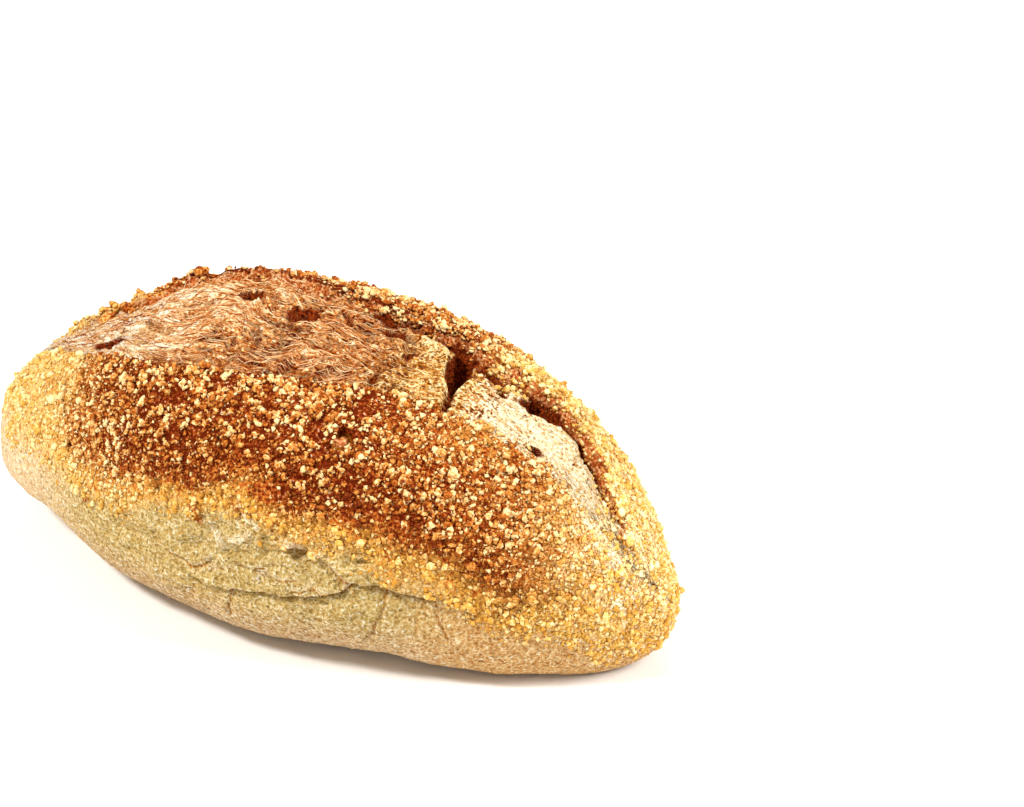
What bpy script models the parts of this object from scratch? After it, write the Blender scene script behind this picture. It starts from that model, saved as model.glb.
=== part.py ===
"""A whole loaf of corn bread: uneven, pointed, scored once along its top and baked in a coat of corn grits.

The loaf is one solid. It is lofted from nine cross-sections, which stand at even angles along the length, so
that both ends close in a rounded tip. Each section is a superellipse round its widest line, cut flat where it
rests. Rails run the whole length of the loft and carry its main features:

    the far lip of the score, the gully below it, and the rim and the near lip of the bare dough,
    the tear along the near side, and its fainter twin on the far side.

Frame: +Z up, the length along X, the origin under the middle of the loaf. Sizes are in millimetres, which MM
turns into metres, and angles are in degrees where they are named. Along the length, theta runs from -90 to 90
degrees. Round a section, phi is 0 on the far side (+Y), 90 at the top and 180 on the near side (-Y).
"""

import math

import bmesh
import bpy
import numpy as np
from mathutils import Matrix, Vector

MM = 0.001

# The plain form, at the nine sections from the left tip to the right one.
LENGTH = 199.4
HALF_WIDTH = (0.0, 19.8, 33.1, 46.8, 52.0, 44.8, 30.7, 11.8, 0.0)
CREST = (28.2, 41.5, 58.9, 74.8, 77.6, 71.8, 57.4, 35.0, 18.6)
SOLE = (28.2, 9.6, 3.8, -4.0, -5.3, -3.2, -3.2, 1.3, 18.6)
WAIST = 0.407  # height of the widest line, as a share of the section's height
UPPER_POWER = 2.33
LOWER_POWER = 2.5
SECTION_STEP = math.pi / 8
TIP_MARGIN = 0.03  # radians from a tip, within which the surface keeps one outward direction
FLAT_HEIGHT = 0.0  # the loaf is flat where it would reach below this

# The score. A lip's place is a share of the half width there, with the far side positive.
NEAR_LIP = (-0.10, -0.14, -0.49, -0.60, -0.50, -0.36, -0.42, -0.68, -0.72)
FAR_LIP = (0.05, 0.04, 0.06, 0.39, 0.30, 0.27, 0.20, -0.52, -0.60)
GULLY_WIDTH = (0.4, 0.5, 1.6, 4.5, 5.5, 7.0, 3.6, 0.6, 0.3)
GULLY_DEPTH = (0.0, 0.0, 0.6, 1.6, 2.6, 6.5, 4.8, 0.0, 0.0)
GULLY_FLOOR = 0.72  # where the gully is deepest, from the far lip (0) to the rim (1)
LIP_HEIGHT = (0.0, 0.0, 0.8, 1.5, 1.3, 1.8, 1.4, 0.3, 0.0)
LIP_LEAN = (0.0, 0.0, 0.3, 0.8, 1.0, 1.8, 1.2, 0.2, 0.0)
LIP_REACH = 4.0
RIM_DROP = 0.8
RIM_REACH = 2.5
LEAST_BARE = 0.1  # least width of the bare dough, as a share of the half width
SCORE_FLOOR = 0.55  # the score lies above this share of the crest's height
NEAR_STEP = 0.7  # how much lower the bare dough lies than the crust beside it
STEP_REACH = 1.5

# The tear along the near side, and the fainter one on the far side.
TEAR_ANGLE = (180.0, 182.0, 184.0, 191.0, 189.0, 178.0, 175.0, 178.0, 180.0)
TEAR_SPAN = (-14.0, 53.0)
TEAR_DEPTH = 2.6
TEAR_REACH = 1.0
TEAR_BULGE = (1.1, -3.0, 2.4)  # how far the lip above the tear stands out, its place past the tear, its reach
TEAR_LEAN = (1.4, -2.2, 1.8)  # how far that lip leans over the tear, and the same
TEAR_HALF_GAP = 2.4  # degrees from the tear to the lip above it and to the foot below it
FAR_TEAR_ANGLE = 4.0
FAR_TEAR_SPAN = (-36.0, 34.0)
FAR_TEAR_DEPTH = 1.7
FAR_TEAR_REACH = 1.4
TEAR_FADE = 7.0

# The flap of dough that was pulled up beside the widest pocket of the score.
FLAP_EDGE = ((32.0, 4.0), (40.5, -17.0))
FLAP_HEIGHT = 1.7
FLAP_WIDTH = 15.0
FLAP_EDGE_SOFTNESS = 1.2
FLAP_END_SOFTNESS = 3.0
FLAP_FLOOR = 50.0  # the flap lies above this height

# Unevenness, as (size of the lumps, height, seed). The bare dough is also drawn out into lengthwise ridges.
LUMPS = ((26.0, 0.8, 11), (9.0, 0.45, 12))
RIDGES = ((30.0, 6.0, 12.0), 0.9, 13)
LUMP_CELLS = 32  # the noise repeats after this many lumps

# Pockets of the score, as (x, y, radii along, across and down, depth of the centre, turn in degrees).
POCKETS = (
    (-25.3, 1.3, (3.2, 2.8, 2.6), 0.3, 0.0),
    (-8.3, -1.5, (4.2, 4.0, 2.2), 0.2, 20.0),
    (10.5, 9.6, (4.0, 2.2, 4.2), 1.5, -22.0),
    (16.2, 4.0, (2.8, 2.0, 3.6), 1.0, -10.0),
    (36.5, 0.5, (3.4, 9.0, 6.0), 1.8, 12.0),
    (58.5, 4.5, (6.0, 3.6, 8.5), 2.5, 20.0),
    (-56.0, -19.3, (4.6, 1.2, 1.6), 0.2, 10.0),
    (21.5, -34.0, (2.6, 3.4, 2.4), 0.4, 0.0),
)
SIDE_HOLLOW = (17.5, 38.0, (3.6, 2.6, 2.2), 0.6)  # x, z, radii and depth of the centre

# Where the coat of grits ends on the sides, as a height above the table at the nine sections.
GRIT_FLOOR = (30.0, 34.0, 35.0, 37.0, 45.0, 39.0, 23.0, 13.0, 12.0)
GRIT_FLOOR_MARGIN = 2.0
BARE_MARGIN = 0.04  # how far the grits stay off the bare dough, as a share of the half width
BARE_ARC = (35.0, 155.0)

# The largest grits, which stand out of the crust.
GRIT_COUNT = 118
GRIT_SPACING = 10.0
GRIT_TRIES = 60  # draws allowed for each grit
GRIT_REACH = 0.985  # the part of the length that the coat covers
GRIT_ARC = (-5.0, 185.0)
GRIT_RADIUS = (1.1, 1.75)
GRIT_SINK = 0.15  # how far the centre lies below the crust, as a share of the radius
GRIT_JITTER = 0.22
GRIT_SEED = 7
LIP_GRIT_COUNT = 24
LIP_GRIT_THETA = (-44.0, 62.0)
LIP_GRIT_SLIP = 1.2  # most degrees that a grit stands off its place in the row
LIP_GRIT_DROP = (1.0, 6.0)  # degrees from the lip down the far side
LIP_SCRAPS = ((-69.5, -1.0, 2.6), (-66.0, 3.5, 2.3), (-47.0, 14.5, 2.2))  # x, y and radius of curled scraps

# The loft's grid: rows along the length, and columns between one rail and the next.
ROWS = 54
FLOOR_RAIL = 52.0  # degrees below level where the sides turn under
COLUMNS = (4, 8, 2, 2, 12, 9, 2, 2, 3, 5)
SHARP_ANGLE = 40.0

CRUST_COLOUR = (0.72, 0.42, 0.14, 1.0)
CRUST_ROUGHNESS = 0.85


def spline(theta, stations, before, after):
    """A smooth curve through the nine sections' values, which go on past the tips to before and after."""
    values = np.array((before, *stations, after))
    place = np.clip((theta + math.pi / 2) / SECTION_STEP, 0.0, 7.999999)
    first = place.astype(int)
    share = place - first
    a, b, c, d = (values[first + step] for step in range(4))
    bend = 2 * a - 5 * b + 4 * c - d + share * (3 * (b - c) + d - a)
    return b + 0.5 * share * (c - a + share * bend)


def along(theta, stations):
    """A value given at the nine sections, which stays level past the tips."""
    return spline(theta, stations, stations[0], stations[-1])


def half_width(theta):
    """Half the section's width, which changes sign past the tips."""
    return np.maximum(spline(theta, HALF_WIDTH, -HALF_WIDTH[1], -HALF_WIDTH[-2]), 0.0)


def crest_and_sole(theta):
    """Both run on into each other round the tips."""
    return spline(theta, CREST, SOLE[1], SOLE[-2]), spline(theta, SOLE, CREST[1], CREST[-2])


def plain_point(theta, phi):
    """The smooth loaf, before any relief and before it is cut flat underneath."""
    cosine, sine = np.cos(phi), np.sin(phi)
    power = np.where(sine > 0, UPPER_POWER, LOWER_POWER)
    reach = (np.abs(cosine) ** power + np.abs(sine) ** power) ** (-1 / power)
    crest, sole = crest_and_sole(theta)
    waist = sole + WAIST * (crest - sole)
    height = np.where(sine > 0, crest - waist, waist - sole)
    x = LENGTH / 2 * np.sin(theta)
    y = half_width(theta) * reach * cosine
    z = waist + height * reach * sine
    return np.stack(np.broadcast_arrays(x, y, z), axis=-1)


def unit(vectors):
    """The same directions, one long."""
    return vectors / np.maximum(np.linalg.norm(vectors, axis=-1, keepdims=True), 1e-9)


def directions(theta, phi):
    """The outward direction, and the direction in which phi grows, on the smooth loaf."""
    step = 1e-3
    theta = np.clip(theta, TIP_MARGIN - math.pi / 2, math.pi / 2 - TIP_MARGIN)
    lengthwise = plain_point(theta + step, phi) - plain_point(theta - step, phi)
    around = plain_point(theta, phi + step) - plain_point(theta, phi - step)
    return unit(np.cross(around, lengthwise)), unit(around)


def angle_of(share):
    """The section angle of a point on the upper side, from its share of the half width."""
    share = np.clip(share, -0.95, 0.95)
    far = np.maximum(np.abs(share), 1e-4)
    angle = np.arctan((far**-UPPER_POWER - 1) ** (1 / UPPER_POWER))
    return np.where(share > 0, angle, math.pi - angle)


def lumps(points, size, seed):
    """Smooth noise from -1 to 1, with bumps about size across."""
    table = np.random.default_rng(seed).uniform(-1, 1, (LUMP_CELLS,) * 3)
    place = points / size
    corner = np.floor(place).astype(int)
    share = place - corner
    share = share * share * (3 - 2 * share)
    total = 0.0
    for i in (0, 1):
        for j in (0, 1):
            for k in (0, 1):
                step = np.array((i, j, k))
                value = table[tuple(((corner + step) % LUMP_CELLS)[..., axis] for axis in range(3))]
                weight = np.abs(1 - step - share).prod(axis=-1)
                total = total + value * weight
    return total


def bell(distance, reach):
    """1 at no distance, and falling smoothly to nothing at about twice the reach."""
    return np.exp(-((distance / reach) ** 2))


def step_up(value, start, end):
    """0 up to start, 1 from end, and smooth between."""
    share = np.clip((value - start) / (end - start), 0.0, 1.0)
    return share * share * (3 - 2 * share)


def window(x, span, fade):
    """1 inside the span, 0 outside it, and smooth at both ends."""
    start, end = span
    return step_up(x, start - fade, start + fade) * (1 - step_up(x, end - fade, end + fade))


def rails(theta):
    """The section angles of the loft's rails, in order round the section from the floor on the far side."""
    width = np.maximum(half_width(theta), 1.0)
    far_lip = along(theta, FAR_LIP)
    gully = along(theta, GULLY_WIDTH) / width
    rim = far_lip - gully
    tear = np.radians(along(theta, TEAR_ANGLE))
    gap = math.radians(TEAR_HALF_GAP)
    floor = math.radians(FLOOR_RAIL)
    level = np.zeros_like(theta)
    return (
        level - floor,
        level + math.radians(FAR_TEAR_ANGLE),
        angle_of(far_lip),
        angle_of(far_lip - GULLY_FLOOR * gully),
        angle_of(rim),
        angle_of(np.minimum(along(theta, NEAR_LIP), rim - LEAST_BARE)),
        tear - gap,
        tear,
        tear + gap,
        level + math.pi + floor,
        level + 2 * math.pi - floor,
    )


def score_relief(theta, point):
    """The score: (how far its surface stands out, how far it leans towards the near side)."""
    width = np.maximum(half_width(theta), 1.0)
    on_top = point[..., 2] > crest_and_sole(theta)[0] * SCORE_FLOOR
    gully = along(theta, GULLY_WIDTH)
    past_lip = along(theta, FAR_LIP) * width - point[..., 1]
    floor = GULLY_FLOOR * gully
    down = step_up(past_lip, 0.0, floor) * (1 - step_up(past_lip, floor, gully))
    lip = bell(np.minimum(past_lip, 0.0), LIP_REACH) * (1 - step_up(past_lip, 0.0, floor))
    rim = bell(np.maximum(past_lip - gully, 0.0), RIM_REACH) * step_up(past_lip, floor, gully)
    inside = past_lip > 0
    bare = step_up(point[..., 1] - along(theta, NEAR_LIP) * width, 0.0, STEP_REACH) * inside
    depth = along(theta, GULLY_DEPTH)
    opened = step_up(depth, 0.0, 1.0)
    stretch, ridge_height, seed = RIDGES
    ridges = ridge_height * lumps(point, np.array(stretch), seed) - NEAR_STEP
    out = lip * along(theta, LIP_HEIGHT) - down * depth + opened * (bare * ridges - rim * RIM_DROP)
    return out * on_top, lip * along(theta, LIP_LEAN) * on_top


def tear_relief(theta, phi, point):
    """The tears of both sides: (how far they stand out, how far they lean down the near side)."""
    x = point[..., 0]
    width = half_width(theta)
    near = window(x, TEAR_SPAN, TEAR_FADE)
    past = (phi - np.radians(along(theta, TEAR_ANGLE))) * width
    bulge, lean = (height * bell(past - place, reach) for height, place, reach in (TEAR_BULGE, TEAR_LEAN))
    far = window(x, FAR_TEAR_SPAN, TEAR_FADE)
    above = (phi - math.radians(FAR_TEAR_ANGLE)) * width
    out = near * (bulge - TEAR_DEPTH * bell(past, TEAR_REACH))
    return out - far * FAR_TEAR_DEPTH * bell(above, FAR_TEAR_REACH), near * lean


def flap_relief(point):
    """A low slope that rises towards the flap's edge and drops sharply past it."""
    (x0, y0), (x1, y1) = FLAP_EDGE
    x, y = point[..., 0], point[..., 1]
    edge = x0 + (x1 - x0) * (y - y0) / (y1 - y0)
    past = x - edge
    slope = np.clip(1 + past / FLAP_WIDTH, 0.0, 1.0) ** 2
    drop = 1 - step_up(past, -FLAP_EDGE_SOFTNESS, FLAP_EDGE_SOFTNESS)
    beside = window(y, (y1, y0), FLAP_END_SOFTNESS) * (point[..., 2] > FLAP_FLOOR)
    return FLAP_HEIGHT * slope * drop * beside


def loaf_point(theta, phi):
    """The loaf's own surface at (theta, phi), with its relief, cut flat where it rests."""
    point = plain_point(theta, phi)
    outward, around = directions(theta, phi)
    out, lean = score_relief(theta, point)
    tear_out, tear_lean = tear_relief(theta, phi, point)
    out = out + tear_out + flap_relief(point)
    for size, height, seed in LUMPS:
        out = out + height * lumps(point, size, seed)
    point = point + outward * out[..., None] + around * (lean + tear_lean)[..., None]
    point[..., 2] = np.maximum(point[..., 2], FLAT_HEIGHT)
    return point


def loft_grid():
    """The section angle of every grid column at every row, between the two tips."""
    theta = np.linspace(-math.pi / 2, math.pi / 2, ROWS + 1)[1:-1]
    lines = rails(theta)
    columns = []
    for start, end, count in zip(lines, lines[1:], COLUMNS):
        columns += [start + (end - start) * step / count for step in range(count)]
    phi = np.stack(columns, axis=1)
    return np.broadcast_to(theta[:, None], phi.shape), phi


def mesh_object(name, bm, collection):
    """A new object in the collection, made of this bmesh."""
    mesh = bpy.data.meshes.new(name)
    bm.to_mesh(mesh)
    bm.free()
    made = bpy.data.objects.new(name, mesh)
    collection.objects.link(made)
    return made


def build_loaf(collection):
    """The loft: a closed skin of quads between the rails, with a fan at each tip."""
    points = loaf_point(*loft_grid())
    bm = bmesh.new()
    rings = [[bm.verts.new(point * MM) for point in row] for row in points]
    for ring, following in zip(rings, rings[1:]):
        for column in range(len(ring)):
            after = (column + 1) % len(ring)
            bm.faces.new((ring[column], ring[after], following[after], following[column]))
    for ring, side in ((rings[0], -1), (rings[-1], 1)):
        tip = bm.verts.new(plain_point(np.array(side * math.pi / 2), np.array(0.0)) * MM)
        for column in range(len(ring)):
            bm.faces.new((ring[column], ring[(column + 1) % len(ring)], tip))
    bmesh.ops.recalc_face_normals(bm, faces=bm.faces)
    return mesh_object("loaf", bm, collection)


def theta_at(x):
    """The theta of a place along the length."""
    return np.arcsin(np.clip(np.asarray(x) * 2 / LENGTH, -1, 1))


def pocket_cutter(name, theta, phi, radii, depth, turn, collection):
    """A smooth egg-shaped cutter, sunk below the loaf's surface and turned about the vertical."""
    outward, around = directions(theta, phi)
    centre = plain_point(theta, phi) - outward * depth
    bm = bmesh.new()
    bmesh.ops.create_icosphere(bm, subdivisions=2, radius=1.0)
    made = mesh_object(name, bm, collection)
    upright = Matrix((np.cross(around, outward), around, outward)).transposed()
    spin = Matrix.Rotation(math.radians(turn), 3, "Z")
    size = Matrix.Diagonal(Vector(radii) * MM).to_3x3()
    made.matrix_world = Matrix.Translation(Vector(centre) * MM) @ (upright @ spin @ size).to_4x4()
    made.hide_render = True
    made.display_type = "WIRE"
    return made


def build_cutters(collection):
    """The pockets of the score, and the hollow in the near side."""
    for number, (x, y, radii, depth, turn) in enumerate(POCKETS):
        theta = theta_at(x)
        phi = angle_of(y / half_width(theta))
        pocket_cutter(f"pocket_{number}", theta, phi, radii, depth, turn, collection)
    x, z, radii, depth = SIDE_HOLLOW
    theta = theta_at(x)
    near_side = np.radians(np.arange(90, 181))
    nearest = np.argmin(np.abs(plain_point(theta, near_side)[:, 2] - z))
    pocket_cutter("side_hollow", theta, near_side[nearest], radii, depth, 0.0, collection)


def apply_boolean(loaf, operation, collection, solver):
    """Joins the collection's objects to the loaf, or cuts them away, and then removes them."""
    modifier = loaf.modifiers.new(operation.lower(), "BOOLEAN")
    modifier.operation = operation
    modifier.operand_type = "COLLECTION"
    modifier.collection = collection
    modifier.solver = solver
    bpy.context.view_layer.update()
    evaluated = loaf.evaluated_get(bpy.context.evaluated_depsgraph_get())
    mesh = bpy.data.meshes.new_from_object(evaluated)
    loaf.modifiers.clear()
    loaf.data = mesh
    for used in list(collection.objects):
        bpy.data.objects.remove(used)


def coated(theta, phi, point):
    """Whether the coat of grits covers this place: off the bare dough, and above the coat's lower edge."""
    share = point[..., 1] / np.maximum(half_width(theta), 1.0)
    below_lip = share < along(theta, FAR_LIP) + BARE_MARGIN
    past_near_lip = share > along(theta, NEAR_LIP) - BARE_MARGIN
    start, end = np.radians(BARE_ARC)
    bare = below_lip & past_near_lip & (phi > start) & (phi < end)
    return (point[..., 2] > along(theta, GRIT_FLOOR) + GRIT_FLOOR_MARGIN) & ~bare


def coat_places(rng):
    """Places spread evenly over the coat and kept apart."""
    found, points = [], []
    for _ in range(GRIT_COUNT * GRIT_TRIES):
        if len(found) == GRIT_COUNT:
            break
        theta = np.array(np.arcsin(rng.uniform(-GRIT_REACH, GRIT_REACH)))
        phi = np.array(math.radians(rng.uniform(*GRIT_ARC)))
        point = plain_point(theta, phi)
        clear = all(np.linalg.norm(point - other) > GRIT_SPACING for other in points)
        if clear and coated(theta, phi, point):
            found.append((theta, phi))
            points.append(point)
    return found


def lip_places(rng):
    """Places in a loose row along the far lip."""
    for theta in np.radians(np.linspace(*LIP_GRIT_THETA, LIP_GRIT_COUNT)):
        theta = np.array(theta + math.radians(rng.uniform(-LIP_GRIT_SLIP, LIP_GRIT_SLIP)))
        yield theta, angle_of(along(theta, FAR_LIP)) - math.radians(rng.uniform(*LIP_GRIT_DROP))


def build_grits(collection):
    """Chunky grits and scraps: jittered icosahedra, half sunk in the crust."""
    rng = np.random.default_rng(GRIT_SEED)
    places = coat_places(rng) + list(lip_places(rng))
    chunks = [(theta, phi, rng.uniform(*GRIT_RADIUS)) for theta, phi in places]
    for x, y, radius in LIP_SCRAPS:
        theta = theta_at(x)
        chunks.append((theta, angle_of(y / half_width(theta)), radius))
    for number, (theta, phi, radius) in enumerate(chunks):
        outward, _ = directions(theta, phi)
        centre = loaf_point(theta, phi) - outward * radius * GRIT_SINK
        bm = bmesh.new()
        bmesh.ops.create_icosphere(bm, subdivisions=1, radius=radius * MM)
        for vertex in bm.verts:
            vertex.co *= 1 + rng.uniform(-GRIT_JITTER, GRIT_JITTER)
        grit = mesh_object(f"grit_{number}", bm, collection)
        grit.location = centre * MM
        grit.rotation_euler = rng.uniform(0, math.tau, 3)


def keep_largest_body(loaf):
    """Drops loose scraps, and fills any hollow that the joined grits have sealed."""
    bm = bmesh.new()
    bm.from_mesh(loaf.data)
    unseen = set(bm.verts)
    bodies = []
    while unseen:
        start = unseen.pop()
        body, edge = {start}, [start]
        while edge:
            vertex = edge.pop()
            for other in (link.other_vert(vertex) for link in vertex.link_edges):
                if other not in body:
                    body.add(other)
                    edge.append(other)
        unseen -= body
        bodies.append(body)
    largest = max(bodies, key=len)
    bmesh.ops.delete(bm, geom=[vertex for vertex in bm.verts if vertex not in largest], context="VERTS")
    bm.to_mesh(loaf.data)
    bm.free()


def centre_on_origin(loaf):
    """Puts the middle of the loaf's box over the origin, with the sole at height 0."""
    corners = np.array([vertex.co for vertex in loaf.data.vertices])
    low, high = corners.min(axis=0), corners.max(axis=0)
    middle = (low + high) / 2
    loaf.data.transform(Matrix.Translation((-middle[0], -middle[1], -low[2])))


def crust_material():
    """Matt, golden crust."""
    material = bpy.data.materials.new("corn_crust")
    material.use_nodes = True
    shader = material.node_tree.nodes["Principled BSDF"]
    shader.inputs["Base Color"].default_value = CRUST_COLOUR
    shader.inputs["Roughness"].default_value = CRUST_ROUGHNESS
    return material


def new_collection(name):
    """A new collection, straight under the scene's own."""
    collection = bpy.data.collections.new(name)
    bpy.context.scene.collection.children.link(collection)
    return collection


def main():
    """Builds the loaf, cuts its pockets, fuses the grits to it and stands it on the origin."""
    for old in list(bpy.data.objects):
        bpy.data.objects.remove(old)
    bread = new_collection("corn_bread")
    cutters = new_collection("cutters")
    grits = new_collection("grits")
    loaf = build_loaf(bread)
    build_cutters(cutters)
    apply_boolean(loaf, "DIFFERENCE", cutters, "EXACT")
    build_grits(grits)
    apply_boolean(loaf, "UNION", grits, "MANIFOLD")
    for used in (cutters, grits):
        bpy.data.collections.remove(used)
    keep_largest_body(loaf)
    centre_on_origin(loaf)
    loaf.data.materials.clear()
    loaf.data.materials.append(crust_material())
    loaf.data.shade_smooth()
    loaf.data.set_sharp_from_angle(angle=math.radians(SHARP_ANGLE))


main()
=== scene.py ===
"""The looks of the corn bread loaf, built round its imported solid.

The skin repeats the solid's own form, from the same named sizes, on a grid about ten times as fine, and adds
the relief that the solid leaves out. Corn grits of six kinds, the largest at the solid's own places, and thin
strands of torn dough lie on it as joined meshes at true size.

Sizes are in millimetres up to the last step, which makes them metres. Along the length, theta runs from -pi/2
to pi/2. Round a section, phi is 0 on the far side (+Y), pi/2 at the top and pi on the near side (-Y). A span
of three numbers is where something starts, where it ends, and how gently.
"""

import itertools
import math

import bmesh
import bpy
import numpy as np
from mathutils import Matrix, Vector


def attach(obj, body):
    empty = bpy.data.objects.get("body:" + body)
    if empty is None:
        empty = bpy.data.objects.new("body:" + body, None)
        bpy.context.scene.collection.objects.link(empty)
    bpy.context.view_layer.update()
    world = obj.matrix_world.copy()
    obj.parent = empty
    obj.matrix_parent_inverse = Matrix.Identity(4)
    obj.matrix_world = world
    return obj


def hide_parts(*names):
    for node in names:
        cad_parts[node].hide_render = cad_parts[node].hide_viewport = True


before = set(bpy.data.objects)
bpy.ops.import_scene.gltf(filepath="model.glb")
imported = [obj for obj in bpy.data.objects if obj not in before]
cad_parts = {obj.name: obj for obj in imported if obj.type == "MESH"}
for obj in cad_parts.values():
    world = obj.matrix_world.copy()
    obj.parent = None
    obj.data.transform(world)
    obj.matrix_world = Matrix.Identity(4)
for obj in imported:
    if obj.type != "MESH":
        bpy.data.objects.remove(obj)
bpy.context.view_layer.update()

MM = 0.001
CENTRING = (-0.03, 0.7, 0)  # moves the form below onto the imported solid

# The plain form, at nine sections from the left tip to the right one, as in the solid.
LENGTH = 199.4
HALF_WIDTH = (0, 19.8, 33.1, 46.8, 52, 44.8, 30.7, 11.8, 0)
CREST = (28.2, 41.5, 58.9, 74.8, 77.6, 71.8, 57.4, 35, 18.6)
SOLE = (28.2, 9.6, 3.8, -4, -5.3, -3.2, -3.2, 1.3, 18.6)
WAIST = 0.407  # a share of the height
UPPER_POWER = 2.33
LOWER_POWER = 2.5
SECTION_STEP = math.pi / 8
TIP_MARGIN = 0.03

# The score. A lip's place is a share of the half width there, with the far side positive.
NEAR_LIP = (-0.1, -0.14, -0.49, -0.6, -0.5, -0.36, -0.42, -0.68, -0.72)
FAR_LIP = (0.05, 0.04, 0.06, 0.39, 0.3, 0.27, 0.2, -0.52, -0.6)
GULLY_WIDTH = (0.4, 0.5, 1.6, 4.5, 5.5, 7, 3.6, 0.6, 0.3)
GULLY_DEPTH = (0, 0, 0.6, 1.6, 2.6, 6.5, 4.8, 0, 0)
GULLY_FLOOR = 0.72  # where it is deepest, as a share of its width
# Where dough bridges the gully, along the length, and how far over the gully it is floury there.
BRIDGES = ((-52, -34), (-22, -12), (-3, 7), (41, 55), (79, 99))
BRIDGE_FLOURY = 5.4
BRIDGE_SLANT = 0.3
BRIDGE_FADE = 1.5
BRIDGE_FILL = 0.75  # how far dough fills the gully there
# Where the gully is widest open, along the length, and how wide a strip of its far lip holds no grits there.
CRACK = (53, 79, 3)
CRACK_BARE = 1.6
LIP_HEIGHT = (0, 0, 0.8, 1.5, 1.3, 1.8, 1.4, 0.3, 0)
LIP_LEAN = (0, 0, 0.3, 0.8, 1, 1.8, 1.2, 0.2, 0)
LIP_REACH = 4
RIM_DROP = 0.8
RIM_REACH = 2.5
LEAST_BARE = 0.1
SCORE_FLOOR = 0.55
SCORE_WIDTH = 44  # how far apart the lips are in the drawn dough's own measure
NEAR_STEP = 0.7
STEP_REACH = 1.5

# The tear along the near side, and the fainter one on the far side. Angles are in degrees.
TEAR_ANGLE = (180, 182, 184, 191, 189, 178, 175, 178, 180)
TEAR_SPAN = (-14, 53, 7)
TEAR_DEPTH = 2.6
TEAR_REACH = 1
# How much the dough bulges and leans, how far below the tear that is most (here above it), and the reach.
TEAR_BULGE = (1.1, -3, 2.4)
TEAR_LEAN = (1.4, -2.2, 1.8)
TEAR_HALF_GAP = 2.4
FAR_TEAR_ANGLE = 4
FAR_TEAR_SPAN = (-36, 34, 7)
FAR_TEAR_DEPTH = 1.7
FAR_TEAR_REACH = 1.4

FLAP_EDGE = ((32, 4), (40.5, -17))
FLAP_HEIGHT = 1.7
FLAP_WIDTH = 15
FLAP_EDGE_SOFTNESS = 1.2
FLAP_END_SOFTNESS = 3
FLAP_FLOOR = 50

# Bumps of the whole loaf and of its bare dough, as (size, height, seed).
LUMPS = ((26, 0.8, 11), (9, 0.45, 12))
RIDGES = ((30, 6, 12), 0.9, 13)
LUMP_CELLS = 32

# Pockets of the score, as (x, y, radii along, across and down, depth of the centre, turn in degrees). The
# first eight are the solid's own.
POCKETS = (
    (-25.3, 1.3, (3.2, 2.8, 2.6), 0.3, 0),
    (-8.3, -1.5, (4.2, 4, 2.2), 0.2, 20),
    (10.5, 9.6, (4, 2.2, 4.2), 1.5, -22),
    (16.2, 4, (2.8, 2, 3.6), 1, -10),
    (36.5, 0.5, (3.4, 9, 6), 1.8, 12),
    (58.5, 4.5, (6, 3.6, 8.5), 2.5, 20),
    (-56, -19.3, (4.6, 1.2, 1.6), 0.2, 10),
    (21.5, -34, (2.6, 3.4, 2.4), 0.4, 0),
    (24.3, -2.5, (1.3, 2, 2.4), 0.4, -15),
    (30.5, 7, (3.6, 1.6, 3), 0.8, -18),
    (63.5, -10.1, (1.5, 1, 1.6), 0.3, 0),
    (-25.2, 0.8, (2.8, 3.2, 6), 1.2, 0),
)
# Pockets of the near side, as (x, z, radii, depth of the centre, turn).
SIDE_POCKETS = (
    (17.5, 38, (3.6, 2.6, 1.5), 0.3, 0),
    (-58.2, 41.3, (1.2, 1.5, 1.8), 0.2, 0),
)
POCKET_RIM = 0.3
# Pockets get painted shade in their mouths and a little way past them.
POCKET_EDGE = 0.8  # how far past its mouth a pocket is dark
# The notch is the pocket past the flap's edge. Its lower end gets less painted shade, between these places
# across the loaf.
NOTCH_SPAN = (33, 44, 1.5)
NOTCH_LIT = (-4, 1)

# Slits of the score, as (points in x and y, depth, half width), and ridges, with a depth below nothing.
SCORE_SLITS = (
    (((-41, -6.3), (-36.4, -6.5), (-32, -5.2)), 1.7, 1),
    (((-31.5, -9), (-28.1, -11), (-26.6, -12.2)), 0.8, 0.8),
    (((-12.8, 0.2), (-9, 1.8), (-6, 3.6)), 2.2, 1.2),
    (((-10.6, -5.5), (-8, -8), (-5.5, -8.8), (-3.5, -7.5)), 1.3, 0.9),
    (((-2.5, 7.4), (1, 4.4), (3, 3), (4.6, 1.8)), 1.8, 0.9),
    (((20.4, -17.5), (20.8, -13.5), (21.8, -9)), 1.8, 1.1),
    (((25.4, -18.5), (25.8, -15.2)), 1.5, 0.9),
    (((24, -8.8), (24.6, -6.2)), 0.9, 0.9),
    (((37.8, -4), (39.3, -9.5), (40, -13), (40.3, -16.5)), 2, 1),
    (((41.7, 8.1), (44, 7.1), (46.8, 4.2), (49.3, 1.4)), 2.4, 1.2),
    (((-11, -5.5), (-13, 0), (-11.8, 4), (-8.5, 5.8), (-4.6, 4.8)), -1.1, 1.1),
    (((-30, -1), (-28.4, 3.8), (-24.6, 4.8), (-21.2, 2.6)), -0.7, 0.9),
    (((-80.5, 3), (-76, 2), (-71.5, -1.5)), -1.5, 1.1),
    (((-72.5, 1.5), (-70.5, 4.5), (-69.5, 8.5)), -1.2, 1),
    (((-46, -5.5), (-38, -3), (-31, -3.4)), -0.8, 1.3),
    (((18.1, 6.6), (20.3, -1.7), (21.4, -6.5), (22.6, -15.5)), -0.8, 1.2),
    (((18.1, 6.6), (22.3, 5.8), (26.2, 3.7), (29.6, 2.8), (33.2, 1.5)), -0.8, 1),
)

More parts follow.
